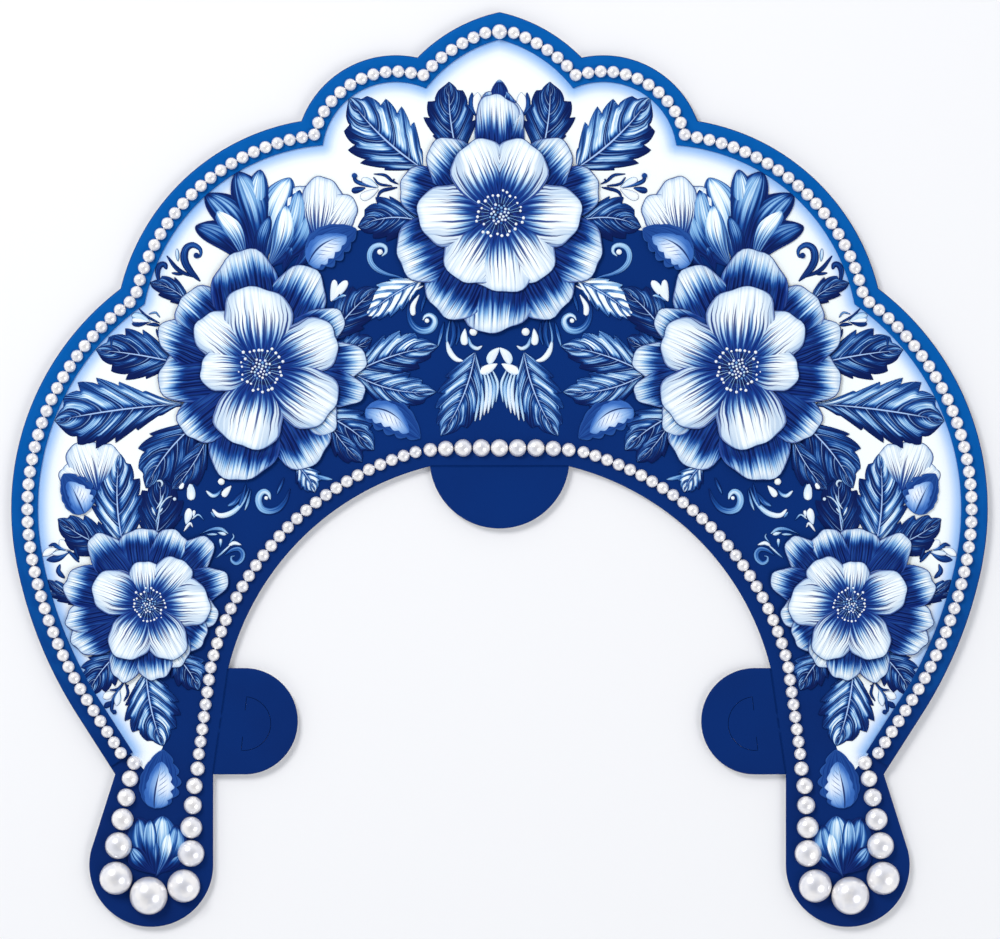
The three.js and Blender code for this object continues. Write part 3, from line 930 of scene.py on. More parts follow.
def blade(batch, place, us, columns, thickness, outline, **values):
    """Closed blade from place(u, v) -> (x, y, z, streak), u from root to tip, v edge to edge."""
    rows = len(us)
    vs = np.sin(np.linspace(-math.pi / 2, math.pi / 2, columns))
    grid = np.array([[place(u, v) for v in vs] for u in us])
    top, streak = grid[:, :, :3], grid[:, :, 3]
    ring = [(0, j) for j in range(columns)] + [(i, columns - 1) for i in range(1, rows)]
    ring += [(rows - 1, j) for j in range(columns - 2, -1, -1)]
    ring += [(i, 0) for i in range(rows - 2, 0, -1)]
    border = np.array([top[i, j] for i, j in ring])
    along = np.roll(border, -1, axis=0) - np.roll(border, 1, axis=0)
    out = np.column_stack([along[:, 1], -along[:, 0], np.zeros(len(ring))])
    out /= np.maximum(np.linalg.norm(out, axis=1), 1e-9)[:, None]
    if np.sum(out * (border - border.mean(axis=0))) < 0:
        out = -out
    rim = border + out * outline - (0, 0, thickness * 0.5)
    foot = border - (0, 0, thickness)
    size, first = len(ring), rows * columns
    faces = []
    for i in range(rows - 1):
        for j in range(columns - 1):
            k = i * columns + j
            faces.append((k, k + 1, k + columns + 1, k + columns))
    start = [i * columns + j for i, j in ring]
    for k in range(size):
        n = (k + 1) % size
        faces.append((start[n], start[k], first + k, first + n))
        faces.append((first + n, first + k, first + size + k, first + size + n))
    faces.append(tuple(first + size + k for k in range(size)))
    all_u, all_v = np.repeat(us, columns), streak.ravel()
    edge = np.maximum(np.abs(np.tile(vs, rows)), all_u ** 8)
    batch.add(np.concatenate([top.reshape(-1, 3), rim, foot]), faces,
              u=np.concatenate([all_u, all_u[start], all_u[start]]),
              v=np.concatenate([all_v, all_v[start], all_v[start]]),
              edge=np.concatenate([edge, np.ones(2 * size)]),
              rim=np.concatenate([np.zeros(first), np.ones(2 * size)]), **values)


def petal(batch, dice, z, x, y, degrees, length, width, start, crown, lift,
          tilt=0.15, head=0.60):
    """Round petal, lobed at its head. Start is where its blue begins to run out to white."""
    phases = dice.uniform(0, 6.28), dice.uniform(0, 6.28)
    skew = dice.uniform(-0.04, 0.04)
    root, length, width = spot(x, y), length * PIXEL, width * PIXEL
    c, s = math.cos(math.radians(degrees)), math.sin(math.radians(degrees))

    def place(u, v):
        fan = math.sin(min(1.0, u / head) * math.pi / 2) ** PETAL_SIDES
        fan = PETAL_ROOT + (1 - PETAL_ROOT) * fan
        ahead = u - head
        close = 1.0
        if ahead > 0:
            close = math.sqrt(max(0.0, 1 - (ahead / (1 - head)) ** PETAL_HEAD))
        across = v * fan * close
        turn = math.atan2(across, ahead / (1 - head))
        waves = sum(size * math.cos(count * turn + phase)
                    for (size, count), phase in zip(PETAL_LOBES, phases))
        lobe = 1 + max(0.0, min(1.0, 0.5 + ahead / 0.3)) * waves
        forward = length * (head + ahead * (lobe if ahead > 0 else 1.0))
        side = across * width / 2 * lobe + skew * length * u * u
        fold = u * sum(size * math.sin(count * across + phase)
                       for (size, count), phase in zip(PETAL_FOLDS, phases))
        cup = math.sin(math.pi * min(1.0, 0.12 + 0.85 * u))
        height = z + lift * u + crown * (1 - across * across) * cup + tilt * across * u + fold
        return (root[0] + c * forward - s * side, root[1] + s * forward + c * side, height,
                across / fan)

    blade(batch, place, ROUND_ROWS, *PETAL_SHEET, seed=dice.random(), tone=start)


def axis(x, y, tx, ty, share=1.0):
    """Root, length, direction and side of a leaf between two pixels, or of a share of it."""
    root = spot(x, y)
    d = (spot(tx, ty) - root) * share
    length = np.linalg.norm(d)
    d = d / length
    return root, length, d, np.array([-d[1], d[0]])


def leaf(batch, dice, z, x, y, tx, ty, width, tone, bend, teeth=0, belly=0.80, height=0.75):
    """Leaf with hooked teeth, raised ribs and a sunk midrib. No teeth gives a pointed petal."""
    root, length, d, n = axis(x, y, tx, ty)
    width = width * PIXEL

    def place(u, v):
        outline = pointed(u, belly, LEAF_POWER if teeth else POINTED_POWER)
        outline = max(outline, LEAF_ROOT * (1 - u))
        hook = ridge = 0.0
        if teeth:
            turn = u * teeth + (0.5 if v < 0 else 0.0)
            share = turn % 1.0
            rising = share < TOOTH_TIP
            hook = (share / TOOTH_TIP) ** 0.7 if rising else (1 - share) / (1 - TOOTH_TIP)
            hook *= min(1.0, 8 * (1 - u))
            ridge = math.sin((turn - RIB_SWEEP * abs(v) ** RIB_CURVE) * 2 * math.pi)
            ridge *= RIB_HEIGHT * outline * abs(v)
        middle = root + d * length * u + n * (bend * length * 4 * u * (1 - u))
        reach = v * width / 2 * outline * (TOOTH_FOOT + TOOTH_REACH * hook * v ** 4)
        lean = SIDE_LEAN * abs(v) ** 1.5 * outline * (1 - u)
        lean += TOOTH_LEAN * hook * v ** 6 * outline / max(teeth, 1)
        p = middle + n * reach + d * length * lean
        rise = height * (0.30 + 0.70 * (1 - v * v)) * (0.35 + 0.65 * min(1.0, outline))
        rise -= MIDRIB_DEPTH * math.exp(-(v / MIDRIB_WIDTH) ** 2) if teeth else 0.0
        return (p[0], p[1], z + rise + ridge, v)

    us = np.linspace(0, 1, ROWS_PER_TOOTH * teeth + 1) if teeth else LONG_ROWS
    blade(batch, place, us, *LEAF_SHEET, seed=dice.random(), tone=tone, teeth=teeth, swing=n[1])


def bud(batch, dice, x, y, tx, ty, width, bend, z):
    """Soft bud: a dark petal with a lobed edge, and a smaller light one on it."""
    us = np.linspace(0, 1, ROWS_PER_TOOTH * BUD_LOBES + 1)
    for tone, length_share, width_share, bend_share, rise, power in BUD_LAYERS:
        root, length, d, n = axis(x, y, tx, ty, length_share)
        half, bow = width * width_share * PIXEL / 2, bend * bend_share * length

        def place(u, v):
            outline = max(pointed(u, BUD_BELLY, power), BUD_ROOT)
            notch = 1 - abs(math.sin(math.pi * BUD_LOBES * u))
            depth = DEEP_NOTCH if v < 0 else SHALLOW_NOTCH
            reach = v * half * outline * (1.05 - depth * notch * v ** 4)
            p = root + d * length * u + n * (bow * 4 * u * (1 - u) + reach)
            crown = BUD_HEIGHT * (1 - 0.75 * v * v) * (0.4 + 0.6 * outline)
            return (p[0], p[1], z + rise + crown, v)

        blade(batch, place, us, *BUD_SHEET, seed=dice.random(), tone=tone)


def comma(batch, dice, z, width, peak, tone, end_tone, pixels):
    """Low brush stroke through pixels, pointed at both ends and widest at peak."""
    line = np.array([spot(*p) for p in smooth_line(pixels, per_span=12)])
    travel = np.append(0, np.cumsum(np.linalg.norm(np.diff(line, axis=0), axis=1)))
    us = np.linspace(0, 1, 10 + 5 * len(pixels))
    path = np.column_stack([np.interp(us * travel[-1], travel, line[:, k]) for k in (0, 1)])
    along = directions(path)
    belly = math.log(0.5) / math.log(peak)

    def place(u, v):
        k = round(u * (len(us) - 1))
        swell = pointed(u, belly, STROKE_POWER)
        half = v * width * PIXEL / 2 * max(swell, STROKE_TIP)
        return (path[k][0] - along[k][1] * half, path[k][1] + along[k][0] * half,
                z + STROKE_HEIGHT * (0.35 + 0.65 * swell) * (1 - 0.8 * v * v), v)

    blade(batch, place, us, *STROKE_SHEET, seed=dice.random(), tone=tone, swing=end_tone - tone)


# Flowers: middle pixel and heart radius in pixels, whether it lies on the axis,
# then its petals from the back tier to the front tier
# petal columns: degrees from the right, length, width (pixels), tier
FLOWERS = {
    "top": dict(x=499.5, y=214.5, heart=24, both=True, petals=[
        (163, 105, 50, 0), (135, 95, 56, 0), (208, 112, 66, 0), (240, 116, 66, 0),
        (270, 119, 74, 0),
        (113, 77, 58, 1), (180, 81, 62, 1), (236, 76, 62, 1), (270, 78, 66, 1),
    ]),
    "side": dict(x=261, y=369, heart=23.5, both=False, petals=[
        (62, 111, 62, 0), (135, 108, 54, 0), (158, 107, 50, 0), (222, 101, 50, 0), (6, 104, 46, 0),
        (-13, 105, 40, 0), (-60, 109, 64, 0), (256, 113, 72, 0), (187, 103, 54, 0),
        (100, 119, 70, 0), (36, 96, 44, 0), (-36, 94, 44, 0),
        (142, 78, 50, 1), (26, 83, 54, 1), (257, 80, 68, 1), (-33, 84, 60, 1), (93, 82, 68, 1),
        (182, 60, 44, 1),
    ]),
    "low": dict(x=149, y=605, heart=17.5, both=False, petals=[
        (46, 88, 38, 0), (21, 82, 37, 0), (-8, 69, 36, 0), (-32, 67, 38, 0), (-58, 68, 36, 0),
        (275, 76, 36, 0), (248, 81, 34, 0), (211, 86, 38, 0), (189, 84, 34, 0), (130, 87, 40, 0),
        (68, 80, 38, 0), (162, 88, 42, 0), (99, 78, 46, 0),
        (95, 44, 34, 1), (157, 58, 46, 1), (52, 57, 36, 1), (240, 59, 44, 1), (-62, 59, 42, 1),
        (4, 61, 48, 1),
    ]),
}
# Tiers of petals, start being where the blue begins to run out, from and to
TIERS = [
    dict(z=2.60, crown=0.48, lift=0.40, start=(0.65, 0.76)),
    dict(z=3.35, crown=0.90, lift=0.55, start=(0.17, 0.23)),
]
PETAL_STEP, PETAL_LAYERS = 0.06, 6      # heights that keep the petals of a tier apart
# Heart of a flower: heights in millimetres, counts, and shares of its radius
HEART_FOOT, HEART_RIM, HEART_RISE, HEART_SHARE, HEART_SIDES = 3.2, 3.92, 0.75, 0.97, 44
HEART_ARC = np.linspace(0.12, 1.45, 6)  # angles up its crown
ANTHER_Z, SEED_Z, FILAMENT_Z, FILAMENT_DROP = 4.34, 4.66, 4.72, 0.36
STAMENS, STAMEN_REACH, ANTHER_SIZE = 28, (0.74, 1.02), (0.05, 0.075)
FILAMENT_START, FILAMENT_RADIUS, FILAMENT_TONE = 0.45, 0.011, 0.62
SEEDS, SEED_FIELD, SEED_SIZE = 30, 0.44, (0.045, 0.062)
GOLDEN_ANGLE = 2.39996
DOWN = 270                              # degrees: a petal on the axis has no mirror image
SIDES = (("left", False), ("right", True))      # name, mirrored


def build_flower(level, row):
    dice = random.Random(level)
    middle, r = spot(row["x"], row["y"]), row["heart"] * PIXEL
    petals, heart, stamens = Batch(*FIELDS), Batch(), Batch(*FIELDS)
    for k, (degrees, length, width, tier) in enumerate(row["petals"]):
        style = TIERS[tier]
        start = dice.uniform(*style["start"])
        petal(petals, dice, style["z"] + PETAL_STEP * (k % PETAL_LAYERS), row["x"], row["y"],
              degrees, length, width, start, style["crown"], style["lift"], tilt=0.2)
        if row["both"] and degrees != DOWN:
            petals.mirror_last()
    profile = [(1.0, HEART_FOOT)] + [(math.cos(a), HEART_RIM + HEART_RISE * math.sin(a))
                                     for a in HEART_ARC]
    turned(heart, *middle, [(HEART_SHARE * r * q, z) for q, z in profile], HEART_SIDES)
    for k in range(STAMENS):
        t = 2 * math.pi * (k + 0.5) / STAMENS + dice.uniform(-0.05, 0.05)
        reach = r * dice.uniform(*STAMEN_REACH)
        bead(stamens, *polar(middle, reach, t), ANTHER_Z, r * dice.uniform(*ANTHER_SIZE),
             tone=dice.uniform(0.0, 0.12), seed=dice.random())
        line = [(*polar(middle, q, t), FILAMENT_Z - FILAMENT_DROP * (q / r) ** 2)
                for q in np.linspace(FILAMENT_START * r, reach, 5)]
        tube(stamens, line, r * FILAMENT_RADIUS, sides=5, tone=FILAMENT_TONE, seed=dice.random())
    for k in range(SEEDS):
        place = polar(middle, r * SEED_FIELD * math.sqrt((k + 0.5) / SEEDS), k * GOLDEN_ANGLE)
        bead(stamens, *place, SEED_Z, r * dice.uniform(*SEED_SIZE), sides=8, rings=3,
             tone=dice.uniform(0.05, 0.75), seed=dice.random())
    for side, flip in SIDES[:1] if row["both"] else SIDES:
        name = f"flower_{level}" if row["both"] else f"flower_{level}_{side}"
        piece = petals.build(name + "_petals", PETAL, "petal", flip)
        heart.build(name + "_heart", HEART, "petal", flip)
        stamens.build(name + "_stamens", BRUSH, "petal", flip)
        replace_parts(piece, name)


# Leaves: root and tip pixels, width in pixels, tone (0 pale to 1 dark), sideways bend, teeth,
# and where it is set, belly: below 0.8 it is widest nearer the root, above it nearer the tip
LEAVES = [
    (422, 168, 349, 98, 64, 0.42, 0.05, 5),
    (458, 156, 449, 82, 48, 0.80, 0.04, 4),
    (420, 221, 358, 227, 42, 0.78, -0.10, 4),
    (422, 280, 362, 320, 32, -0.30, -0.05, 5),
    (330, 340, 378, 288, 38, 0.78, 0.05, 4),
    (338, 350, 372, 338, 26, 0.80, -0.08, 3),
    (352, 374, 438, 346, 42, 0.48, 0.05, 5),
    (354, 374, 436, 392, 38, 0.54, -0.08, 5),
    (318, 412, 374, 450, 40, 0.66, 0.06, 4),
    (330, 424, 362, 462, 26, 0.85, -0.05, 3),
    (174, 362, 96, 350, 48, 0.74, -0.02, 4, 0.75),
    (182, 404, 55, 421, 64, 0.50, -0.02, 6, 1.35),
    (196, 424, 146, 488, 50, 0.74, -0.06, 4),
    (206, 440, 172, 490, 30, 0.82, 0.05, 3),
    (190, 304, 150, 283, 22, 0.82, -0.10, 3),
    (475, 353, 441, 436, 46, 0.58, 0.06, 5),
    (124, 548, 120, 454, 50, 0.42, 0.05, 5),
    (154, 545, 160, 476, 44, 0.95, -0.04, 4),
    (118, 550, 58, 519, 38, 0.84, 0.06, 4),
    (86, 600, 48, 580, 16, 0.80, 0.08, 3),
    (84, 604, 48, 594, 14, 0.85, -0.08, 3),
    (120, 652, 88, 694, 36, 0.72, -0.06, 4),
    (146, 672, 163, 746, 52, 0.40, -0.04, 5),
    (172, 652, 199, 690, 34, 0.70, 0.06, 4),
    (298, 466, 315, 492, 24, 0.22, 0.06, 4),
]
# Pointed petals of the opened blossoms, back to front: root and tip pixels, width, tone, bend
CALYX = [
    (292, 270, 315, 232, 22, 0.55, -0.12),
    (284, 272, 300, 240, 20, 0.80, 0.12),
    (266, 262, 290, 178, 36, 0.10, 0.08),
    (268, 268, 308, 206, 34, 0.55, -0.14),
    (268, 268, 300, 190, 34, 0.40, -0.10),
    (248, 270, 196, 226, 30, 0.85, -0.14),
    (250, 270, 207, 194, 40, 0.80, -0.14),
    (262, 266, 260, 170, 30, 0.30, 0.06),
    (258, 268, 238, 172, 42, 0.55, -0.08),
    (266, 270, 286, 206, 28, -0.15, -0.10),
    (246, 266, 217, 210, 26, -0.20, -0.10),
    (262, 272, 270, 216, 18, 0.70, 0.10),
    (156, 874, 131, 848, 22, 0.72, 0.08),
    (156, 874, 181, 848, 22, 0.78, -0.08),
    (156, 876, 163, 816, 34, 0.30, -0.02),
    (156, 876, 138, 818, 36, 0.80, 0.10),
    (156, 876, 177, 826, 32, 0.60, -0.10),
    (156, 876, 150, 820, 26, 0.62, 0.04),
    (156, 876, 169, 832, 22, -0.05, -0.06),
    (156, 878, 156, 840, 12, 0.90, 0.00),
]
# Round petals of pale blossoms: root pixel, degrees from the right, length and width in pixels,
# blue start, height in millimetres
PALE_PETALS = [
    (318, 244, 112, 62, 38, 0.02, 2.25),
    (318, 244, 58, 56, 38, 0.04, 2.37),
    (318, 244, 86, 66, 42, 0.0, 2.49),
    (98, 494, 142, 44, 28, 0.03, 2.00),
    (98, 494, 76, 50, 30, 0.04, 2.04),
    (98, 494, 106, 54, 42, 0.0, 2.08),
]
# Soft buds: root and tip pixels, width in pixels, sideways bend, height in millimetres
BUDS = [
    (309, 264, 356, 229, 39, 0.06, 2.80),
    (366, 409, 420, 438, 35, 0.08, 2.40),
    (85, 513, 64, 474, 34, -0.08, 2.60),
    (155, 808, 163.5, 750, 40, -0.03, 2.30),
]
# Petals of the peak bud, back to front: degrees from the right, length and width in pixels, start
PEAK_ROOT_Y = 172
PEAK_PETALS = [(90, 84, 44, 0.80), (102, 68, 32, 0.50), (78, 68, 32, 0.50), (90, 79, 47, 0.40)]
# Its cap: root and tip pixels, width in pixels, tone, bend
PEAK_CAP = (AXIS_X, 106, AXIS_X, 80, 20, 0.86, 0.0)
# Brush strokes: width in pixels, how far along it is widest, tone at its start and end, pixels
STROKES = [
    # scrolls
    (5.0, 0.40, 0.42, 0.80, [(382, 256), (386, 252), (385, 247), (379.5, 245), (373, 247.5),
                             (369.8, 254), (371, 262), (377, 269), (387, 274), (397, 276.5),
                             (407, 280)]),
    (6.5, 0.45, 0.30, 0.95, [(423, 320), (425, 316.5), (429.5, 315), (434, 318), (434.8, 323),
                             (431, 329), (424, 331), (416.5, 328.5), (411, 322), (408.3, 312),
                             (409, 300)]),
    (6.5, 0.42, 0.36, 0.98, [(270.4, 499), (268.5, 493.5), (264, 491.4), (259.5, 495),
                             (258.4, 502), (262, 509), (270, 511.4), (279, 508.5), (286, 500),
                             (290, 489)]),
    (7.0, 0.60, 0.80, 0.98, [(195.6, 256), (199.5, 257), (201, 252.5), (199, 248), (193, 245),
                             (187, 247.5), (184.3, 254), (185, 262), (190, 270.5), (200, 281)]),
    (5.0, 0.55, 0.60, 0.80, [(234.5, 556), (231.5, 557), (232, 561), (236.5, 563.3),
                             (241.5, 559.5), (242.8, 553.5), (239, 549), (232, 550), (225, 555)]),
    # sprig under the top leaf
    (3.4, 0.30, 0.95, 0.70, [(354, 176), (356, 181), (364, 184.5), (376, 187.5)]),
    (5.5, 0.30, 0.97, 0.90, [(352, 191), (357, 190), (365, 188)]),
    (8.0, 0.30, 0.02, 0.10, [(361, 198), (368, 195), (378, 189.5)]),
    (7.0, 0.35, 0.12, 0.30, [(362, 179), (368, 182), (378, 187)]),
    (2.4, 0.55, 0.95, 0.95, [(374, 174), (385, 175.3), (392, 181), (398, 184)]),
    (2.8, 0.50, 0.95, 0.95, [(377, 198), (382, 191), (397, 187.5)]),
    (1.8, 0.50, 0.85, 0.95, [(373.6, 177.5), (379.4, 184), (392, 186)]),
    # spray beside the scroll on the white ground
    (3.6, 0.50, 0.97, 0.98, [(167, 256), (178, 269.5), (193, 277)]),
    (2.2, 0.50, 0.90, 0.95, [(172, 273), (182, 274.6)]),
    (3.0, 0.45, 0.40, 0.45, [(177, 249), (178, 261)]),
    (5.0, 0.35, 0.95, 0.95, [(166.5, 269), (164.5, 264.5), (160, 265.5), (157.7, 272), (159, 284)]),
    # sprig left of the side flower
    (1.9, 0.50, 0.95, 0.95, [(138.8, 308.4), (144.9, 314.9), (149.5, 318), (154.4, 320.6),
                             (159.5, 323)]),
    (7.0, 0.35, 0.45, 0.35, [(132, 315.5), (140, 317), (150, 322)]),
    (5.0, 0.35, 0.02, 0.10, [(132.3, 320), (140, 320.6), (149, 322)]),
    (4.6, 0.35, 0.92, 0.90, [(132.3, 323.8), (139, 324), (149, 321.8)]),
    (3.0, 0.60, 0.95, 0.98, [(147, 324.8), (152.5, 324.4), (159.5, 325.4)]),
    (1.2, 0.50, 0.60, 0.60, [(149, 314), (155.6, 312.6), (159.8, 317.2)]),
    (2.0, 0.50, 0.95, 0.95, [(156.3, 329.4), (158.3, 335.2), (160.5, 340)]),
    (2.6, 0.45, 0.95, 0.90, [(112.5, 351), (111.5, 342), (113.5, 337), (117.5, 336.5)]),
    # hearts and drops of the navy field
    (6.5, 0.35, 0.06, 0.20, [(334.5, 280), (334, 289), (331, 301)]),
    (8.0, 0.35, 0.02, 0.15, [(347, 281), (340, 290), (331, 301)]),
    (3.0, 0.45, 0.45, 0.70, [(349, 296), (342, 296), (333, 301)]),
    (2.4, 0.50, 0.00, 0.10, [(423, 286), (414, 291), (409, 301)]),
    (5.2, 0.24, 0.00, 0.10, [(413, 315.5), (413, 306), (419, 295)]),
    (3.2, 0.30, 0.10, 0.30, [(437, 287), (432.5, 295.5)]),
    (3.0, 0.50, 0.80, 0.95, [(421, 312), (424, 300), (428, 290)]),
    (3.4, 0.50, 0.60, 0.90, [(438, 346), (441, 334), (444, 322)]),
    (2.2, 0.50, 0.55, 0.80, [(447, 346), (447, 334), (450, 320)]),
    (5.0, 0.45, 0.00, 0.30, [(463, 361), (456, 359), (450, 352), (446.5, 340)]),
    (7.0, 0.30, 0.02, 0.10, [(465, 345), (464, 338), (465, 329)]),
    (3.4, 0.45, 0.20, 0.65, [(482, 346), (477, 348.6), (471, 345), (468.5, 337)]),
    (8.5, 0.40, 0.22, 0.15, [(489, 364), (492, 356), (499, 348)]),
    (8.5, 0.35, 0.00, 0.05, [(480, 373), (487, 369.5), (497, 364)]),
    (3.6, 0.60, 0.50, 0.05, [(482, 366), (487, 390), (484, 415)]),
    (3.6, 0.55, 0.45, 0.15, [(485.5, 368), (490.5, 388), (488, 413)]),
    (3.2, 0.55, 0.60, 0.35, [(489, 370), (494, 387), (492, 408)]),
    (2.8, 0.50, 0.35, 0.45, [(492.5, 370), (497.5, 384), (496, 402)]),
    (3.4, 0.60, 0.70, 0.20, [(479.5, 374), (482.5, 396), (480, 420)]),
    (3.2, 0.60, 0.80, 0.35, [(477, 380), (478.5, 400), (475, 421)]),
    (5.0, 0.50, 0.95, 0.80, [(452, 318), (454, 334), (450, 349)]),
    (3.0, 0.50, 0.95, 0.75, [(458, 322), (459, 334), (456, 345)]),
    # under the side flower
    (3.2, 0.45, 0.02, 0.10, [(187, 466.5), (201, 462)]),
    (7.5, 0.32, 0.02, 0.10, [(180, 489), (183, 482), (189, 473)]),
    (8.0, 0.28, 0.05, 0.35, [(191, 500), (191, 491), (188.5, 480)]),
    (1.6, 0.50, 0.55, 0.80, [(189, 480), (192, 474), (199, 468)]),
    (6.0, 0.30, 0.06, 0.15, [(223, 496.5), (226, 492), (231, 486)]),
    (3.6, 0.45, 0.15, 0.85, [(206.5, 491), (212, 495.5), (217, 494.5), (222, 489)]),
    (4.8, 0.38, 0.00, 0.85, [(212.5, 509.5), (218, 515), (226, 515), (235, 510.5), (243.5, 501),
                             (249, 488)]),
    (5.0, 0.40, 0.70, 0.95, [(228, 506), (235, 502), (243, 492)]),
    (4.0, 0.40, 0.80, 0.95, [(238, 509), (242, 500), (246, 484)]),
    (2.2, 0.50, 0.40, 0.85, [(245, 510), (248, 502), (251, 490)]),
    (2.2, 0.50, 0.55, 0.70, [(211, 512), (215, 517.5)]),
    (4.5, 0.50, 0.55, 0.85, [(332, 479.5), (321, 477.5), (308, 473)]),
    (3.0, 0.50, 0.75, 0.95, [(277, 494), (280, 487), (284, 478)]),
    # over the low flower
    (7.0, 0.40, 0.05, 0.30, [(189, 508.5), (188.5, 515), (186, 524)]),
    (2.8, 0.30, 0.02, 0.20, [(194.2, 510.5), (193.5, 517)]),
    (1.7, 0.50, 0.15, 0.80, [(192, 519), (198.4, 514.8), (204, 520)]),
    (2.2, 0.50, 0.02, 0.10, [(184, 531), (189.8, 523.4), (192.6, 527)]),
    (3.0, 0.60, 0.85, 0.40, [(200, 534), (211, 529.5), (221, 529), (228, 533.5)]),
    (2.4, 0.50, 0.60, 0.40, [(207, 534.5), (217, 534.3)]),
    (3.0, 0.60, 0.50, 0.20, [(218, 532.5), (226, 534.5)]),
    (2.6, 0.25, 0.20, 0.85, [(220.6, 539), (220.6, 548)]),
    (1.6, 0.50, 0.50, 0.75, [(232.8, 534), (233.6, 537.3), (229, 543)]),
    (1.7, 0.50, 0.70, 0.15, [(216, 558), (224, 551), (231, 544.5)]),
    (3.4, 0.40, 0.10, 0.15, [(229, 545.5), (234, 543), (241, 544.8)]),
    # sprig beside the low flower
    (3.2, 0.45, 0.95, 0.85, [(79, 562), (72, 554), (67, 551)]),
    (7.5, 0.65, 0.02, 0.02, [(70, 550), (65, 546), (60, 540.5)]),
    (6.5, 0.60, 0.80, 0.98, [(68, 553), (58, 558), (47, 560)]),
    (5.0, 0.55, 0.30, 0.20, [(68, 552), (60, 553), (52.5, 554)]),
    (6.5, 0.60, 0.00, 0.02, [(57, 548.5), (50, 551), (43, 555.5)]),
    (3.6, 0.50, 0.70, 0.95, [(65, 550), (58, 547.3), (54, 544.5), (49, 545.8)]),
    (2.6, 0.45, 0.95, 0.90, [(79, 559), (75.5, 550), (74.8, 542)]),
    (4.2, 0.45, 0.95, 0.85, [(64.5, 578), (58.5, 571.5), (60, 564.5)]),
    # sprig under the low flower
    (1.8, 0.50, 0.80, 0.70, [(125, 681), (115, 695), (111, 702)]),
    (2.2, 0.50, 0.97, 0.95, [(125, 681), (118, 689), (110, 690)]),
    (7.0, 0.65, 0.02, 0.02, [(115, 692.5), (110, 694.5), (103.5, 698)]),
    (5.0, 0.62, 0.97, 0.98, [(112, 701), (104.5, 707.5)]),
    (2.8, 0.55, 0.90, 0.95, [(114.5, 695), (112.4, 704), (111.6, 710), (114, 713)]),
    (6.0, 0.60, 0.25, 0.20, [(119.5, 690), (118, 697), (116.5, 705.5)]),
    (2.2, 0.50, 0.97, 0.95, [(125.5, 683), (128, 693), (124, 701)]),
    # sprig beside the peak bud
    (3.0, 0.45, 0.25, 0.35, [(475.5, 148), (476.5, 128), (480, 117)]),
    (4.6, 0.60, 0.95, 0.85, [(477, 116.5), (471.5, 106), (472, 93)]),
    (9.5, 0.62, 0.05, 0.02, [(478.5, 118), (477, 106), (477.8, 93)]),
    (6.5, 0.55, 0.30, 0.20, [(479.5, 118), (482, 110), (485.5, 100)]),
    (1.6, 0.50, 0.90, 0.80, [(475.5, 116), (471, 109), (466.5, 104)]),
]
# Strokes of the same kind that lie on a leaf
LEAF_STROKES = [
    (1.8, 0.50, 0.60, 0.25, [(156.2, 528), (156.6, 521.8), (158.7, 514.8), (160.4, 507.3),
                             (163.7, 501.9), (167.8, 497.8), (172, 496.3)]),
    (1.7, 0.50, 0.30, 0.40, [(156.2, 509.4), (160.4, 503.2), (163.7, 494.5)]),
    (2.0, 0.50, 0.30, 0.40, [(152, 507.3), (154.1, 512.3), (155.8, 515.6)]),
    (1.6, 0.50, 0.30, 0.30, [(159.3, 513), (162.9, 508.1)]),
    (1.8, 0.45, 0.35, 0.30, [(157, 481.2), (160.4, 480.8), (162.4, 483.3), (161.6, 486.6)]),
]
# Dots: middle pixel, radius in pixels, tone
DOTS = [
    (380, 252, 2.8, 0.05),
    (427, 320.7, 2.3, 0.02),
    (266.2, 498, 1.9, 0.05),
    (196.5, 255.6, 3.0, 0.95),
    (354.5, 175.8, 2.9, 0.95),
    (473.4, 331.8, 4.0, 0.02),
    (221.3, 481.6, 3.4, 0.02),
    (114.3, 712, 2.5, 0.95),
    (394, 179.6, 1.0, 0.95),
    (128, 685.6, 1.0, 0.95),
    (174.5, 499, 2.0, 0.40),
    (175.3, 515.4, 0.8, 0.05),
]
# Lowest height of each kind, and the steps that keep overlapping pieces apart
LEAF_Z, LEAF_STEP, LEAF_LAYERS = 2.02, 0.05, 5
CALYX_Z, CALYX_STEP, CALYX_LAYERS = 2.04, 0.05, 13
STROKE_Z, LEAF_STROKE_Z, STROKE_STEP, STROKE_LAYERS = 2.14, 2.68, 0.03, 4
DOT_Z = 2.06
PEAK_Z, PEAK_STEP, CAP_Z = 2.2, 0.14, 2.15


def build_garland():
    """Leaves, buds, blossoms and brush strokes of the left half, and their mirror image."""
    dice = random.Random("garland")
    leaves, blooms, tulips, buds, strokes = (Batch(*FIELDS) for _ in range(5))
    for k, row in enumerate(LEAVES):
        leaf(leaves, dice, LEAF_Z + LEAF_STEP * (k % LEAF_LAYERS), *row)
    for *row, z in PALE_PETALS:
        petal(blooms, dice, z, *row, crown=0.45, lift=0.1)
    for k, row in enumerate(CALYX):
        z = CALYX_Z + CALYX_STEP * (k % CALYX_LAYERS)
        leaf(tulips, dice, z, *row, belly=1.6, height=0.7)
    for row in BUDS:
        bud(buds, dice, *row)
    for table, z in ((STROKES, STROKE_Z), (LEAF_STROKES, LEAF_STROKE_Z)):
        for k, row in enumerate(table):
            comma(strokes, dice, z + STROKE_STEP * (k % STROKE_LAYERS), *row)
    for x, y, r, tone in DOTS:
        bead(strokes, *spot(x, y), DOT_Z, r * PIXEL, sides=14, rings=5,
             tone=tone, seed=dice.random())
    for side, flip in SIDES:
        for name, batch, material in (("leaves", leaves, LEAF), ("blossoms", blooms, PETAL),
                                      ("tulips", tulips, TULIP), ("buds", buds, BUD),
                                      ("brush_strokes", strokes, BRUSH)):
            batch.build(f"{name}_{side}", material, "petal", flip)


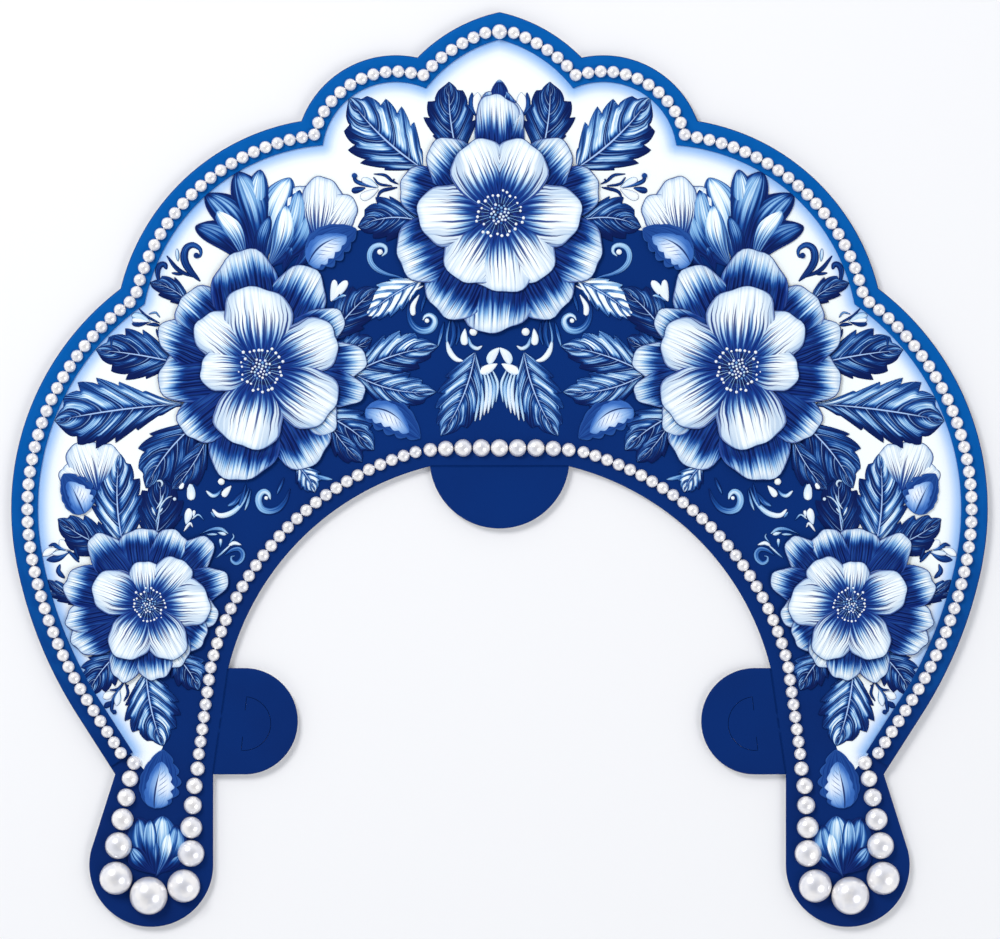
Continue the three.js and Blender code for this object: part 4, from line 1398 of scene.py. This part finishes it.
def build_peak_bud():
    """Closed bud above the top flower, with a pointed cap."""
    dice = random.Random("peak")
    batch = Batch(*FIELDS)
    for k, row in enumerate(PEAK_PETALS):
        petal(batch, dice, PEAK_Z + PEAK_STEP * k, AXIS_X, PEAK_ROOT_Y, *row,
              crown=0.9, lift=0.1, tilt=0.0, head=0.38)
    leaf(batch, dice, CAP_Z, *PEAK_CAP, belly=0.7, height=0.6)
    batch.build("peak_bud", PETAL, "petal")


build_board()
build_ribbon()
for side, _ in SIDES:
    build_string(f"outer_pearls_{side}")
    build_string(f"inner_pearls_{side}")
    build_graded(f"lappet_pearls_{side}", [f"lappet_pearl_{side}_{i}" for i in range(1, 14)])
build_graded("arch_pearls", ["arch_pearl_0"] + [f"arch_pearl_{side}_{i}" for side, _ in SIDES
                                                for i in range(1, 5)])
build_graded("peak_pearl_set", ["peak_pearl"])
build_garland()
for level, row in FLOWERS.items():
    build_flower(level, row)
build_peak_bud()


# Stage: pale floor, soft light from the upper left, camera straight above (metres)

FLOOR_HALF, FLOOR_Z = 8.0, -0.0004
FLOOR_COLOR = (0.86, 0.86, 0.87, 1.0)
# Sky a little darker overhead than round the horizon: position, colour
SKY_RAMP = [(0.55, (0.95, 0.97, 1.0, 1.0)), (0.98, (0.26, 0.27, 0.30, 1.0))]
SKY_STRENGTH = 0.90
# name, place, size, power
LAMPS = [("key", (-0.7, 0.8, 1.1), 0.6, 12), ("fill", (0.9, -0.5, 1.2), 1.0, 5)]
SENSOR, CAMERA_RISE = 36, 1.6
CAMERA_CLIP = (0.05, 50)


def build_stage():
    scene = bpy.context.scene
    mesh = bpy.data.meshes.new("floor")
    corners = [(x * FLOOR_HALF, y * FLOOR_HALF, FLOOR_Z)
               for x, y in ((-1, -1), (1, -1), (1, 1), (-1, 1))]
    mesh.from_pydata(corners, [], [(0, 1, 2, 3)])
    mesh.materials.append(Nodes("studio_floor").finish(FLOOR_COLOR, 0.9))
    floor = add_to_scene("floor", mesh)

    scene.world = scene.world or bpy.data.worlds.new("studio")
    scene.world.use_nodes = True
    tree = scene.world.node_tree
    way, split, ramp = (tree.nodes.new("ShaderNode" + kind)
                        for kind in ("TexCoord", "SeparateXYZ", "ValToRGB"))
    for element, (position, color) in zip(ramp.color_ramp.elements, SKY_RAMP):
        element.position, element.color = position, color
    background = tree.nodes["Background"]
    tree.links.new(way.outputs["Generated"], split.inputs[0])
    tree.links.new(split.outputs[2], ramp.inputs[0])
    tree.links.new(ramp.outputs[0], background.inputs[0])
    background.inputs[1].default_value = SKY_STRENGTH

    for name, place, size, power in LAMPS:
        light = bpy.data.lights.new(name, "AREA")
        light.shape = "DISK"
        light.size = size
        light.energy = power
        lamp = add_to_scene(name, light)
        lamp.location = place
        lamp.rotation_euler = (-Vector(place)).to_track_quat("-Z", "Y").to_euler()

    camera = bpy.data.cameras.new("camera")
    camera.sensor_fit = "HORIZONTAL"
    camera.sensor_width = SENSOR
    camera.lens = SENSOR * CAMERA_RISE / (PHOTO_WIDTH * PIXEL * MM)
    camera.clip_start, camera.clip_end = CAMERA_CLIP
    scene.camera = add_to_scene("camera", camera)
    off = (PHOTO_WIDTH / 2 - AXIS_X) * PIXEL
    scene.camera.location = (off * MM, 0, CAMERA_RISE + BOARD_TOP * MM)
    scene.view_settings.view_transform = "Standard"
    scene.view_settings.look = "None"


build_stage()
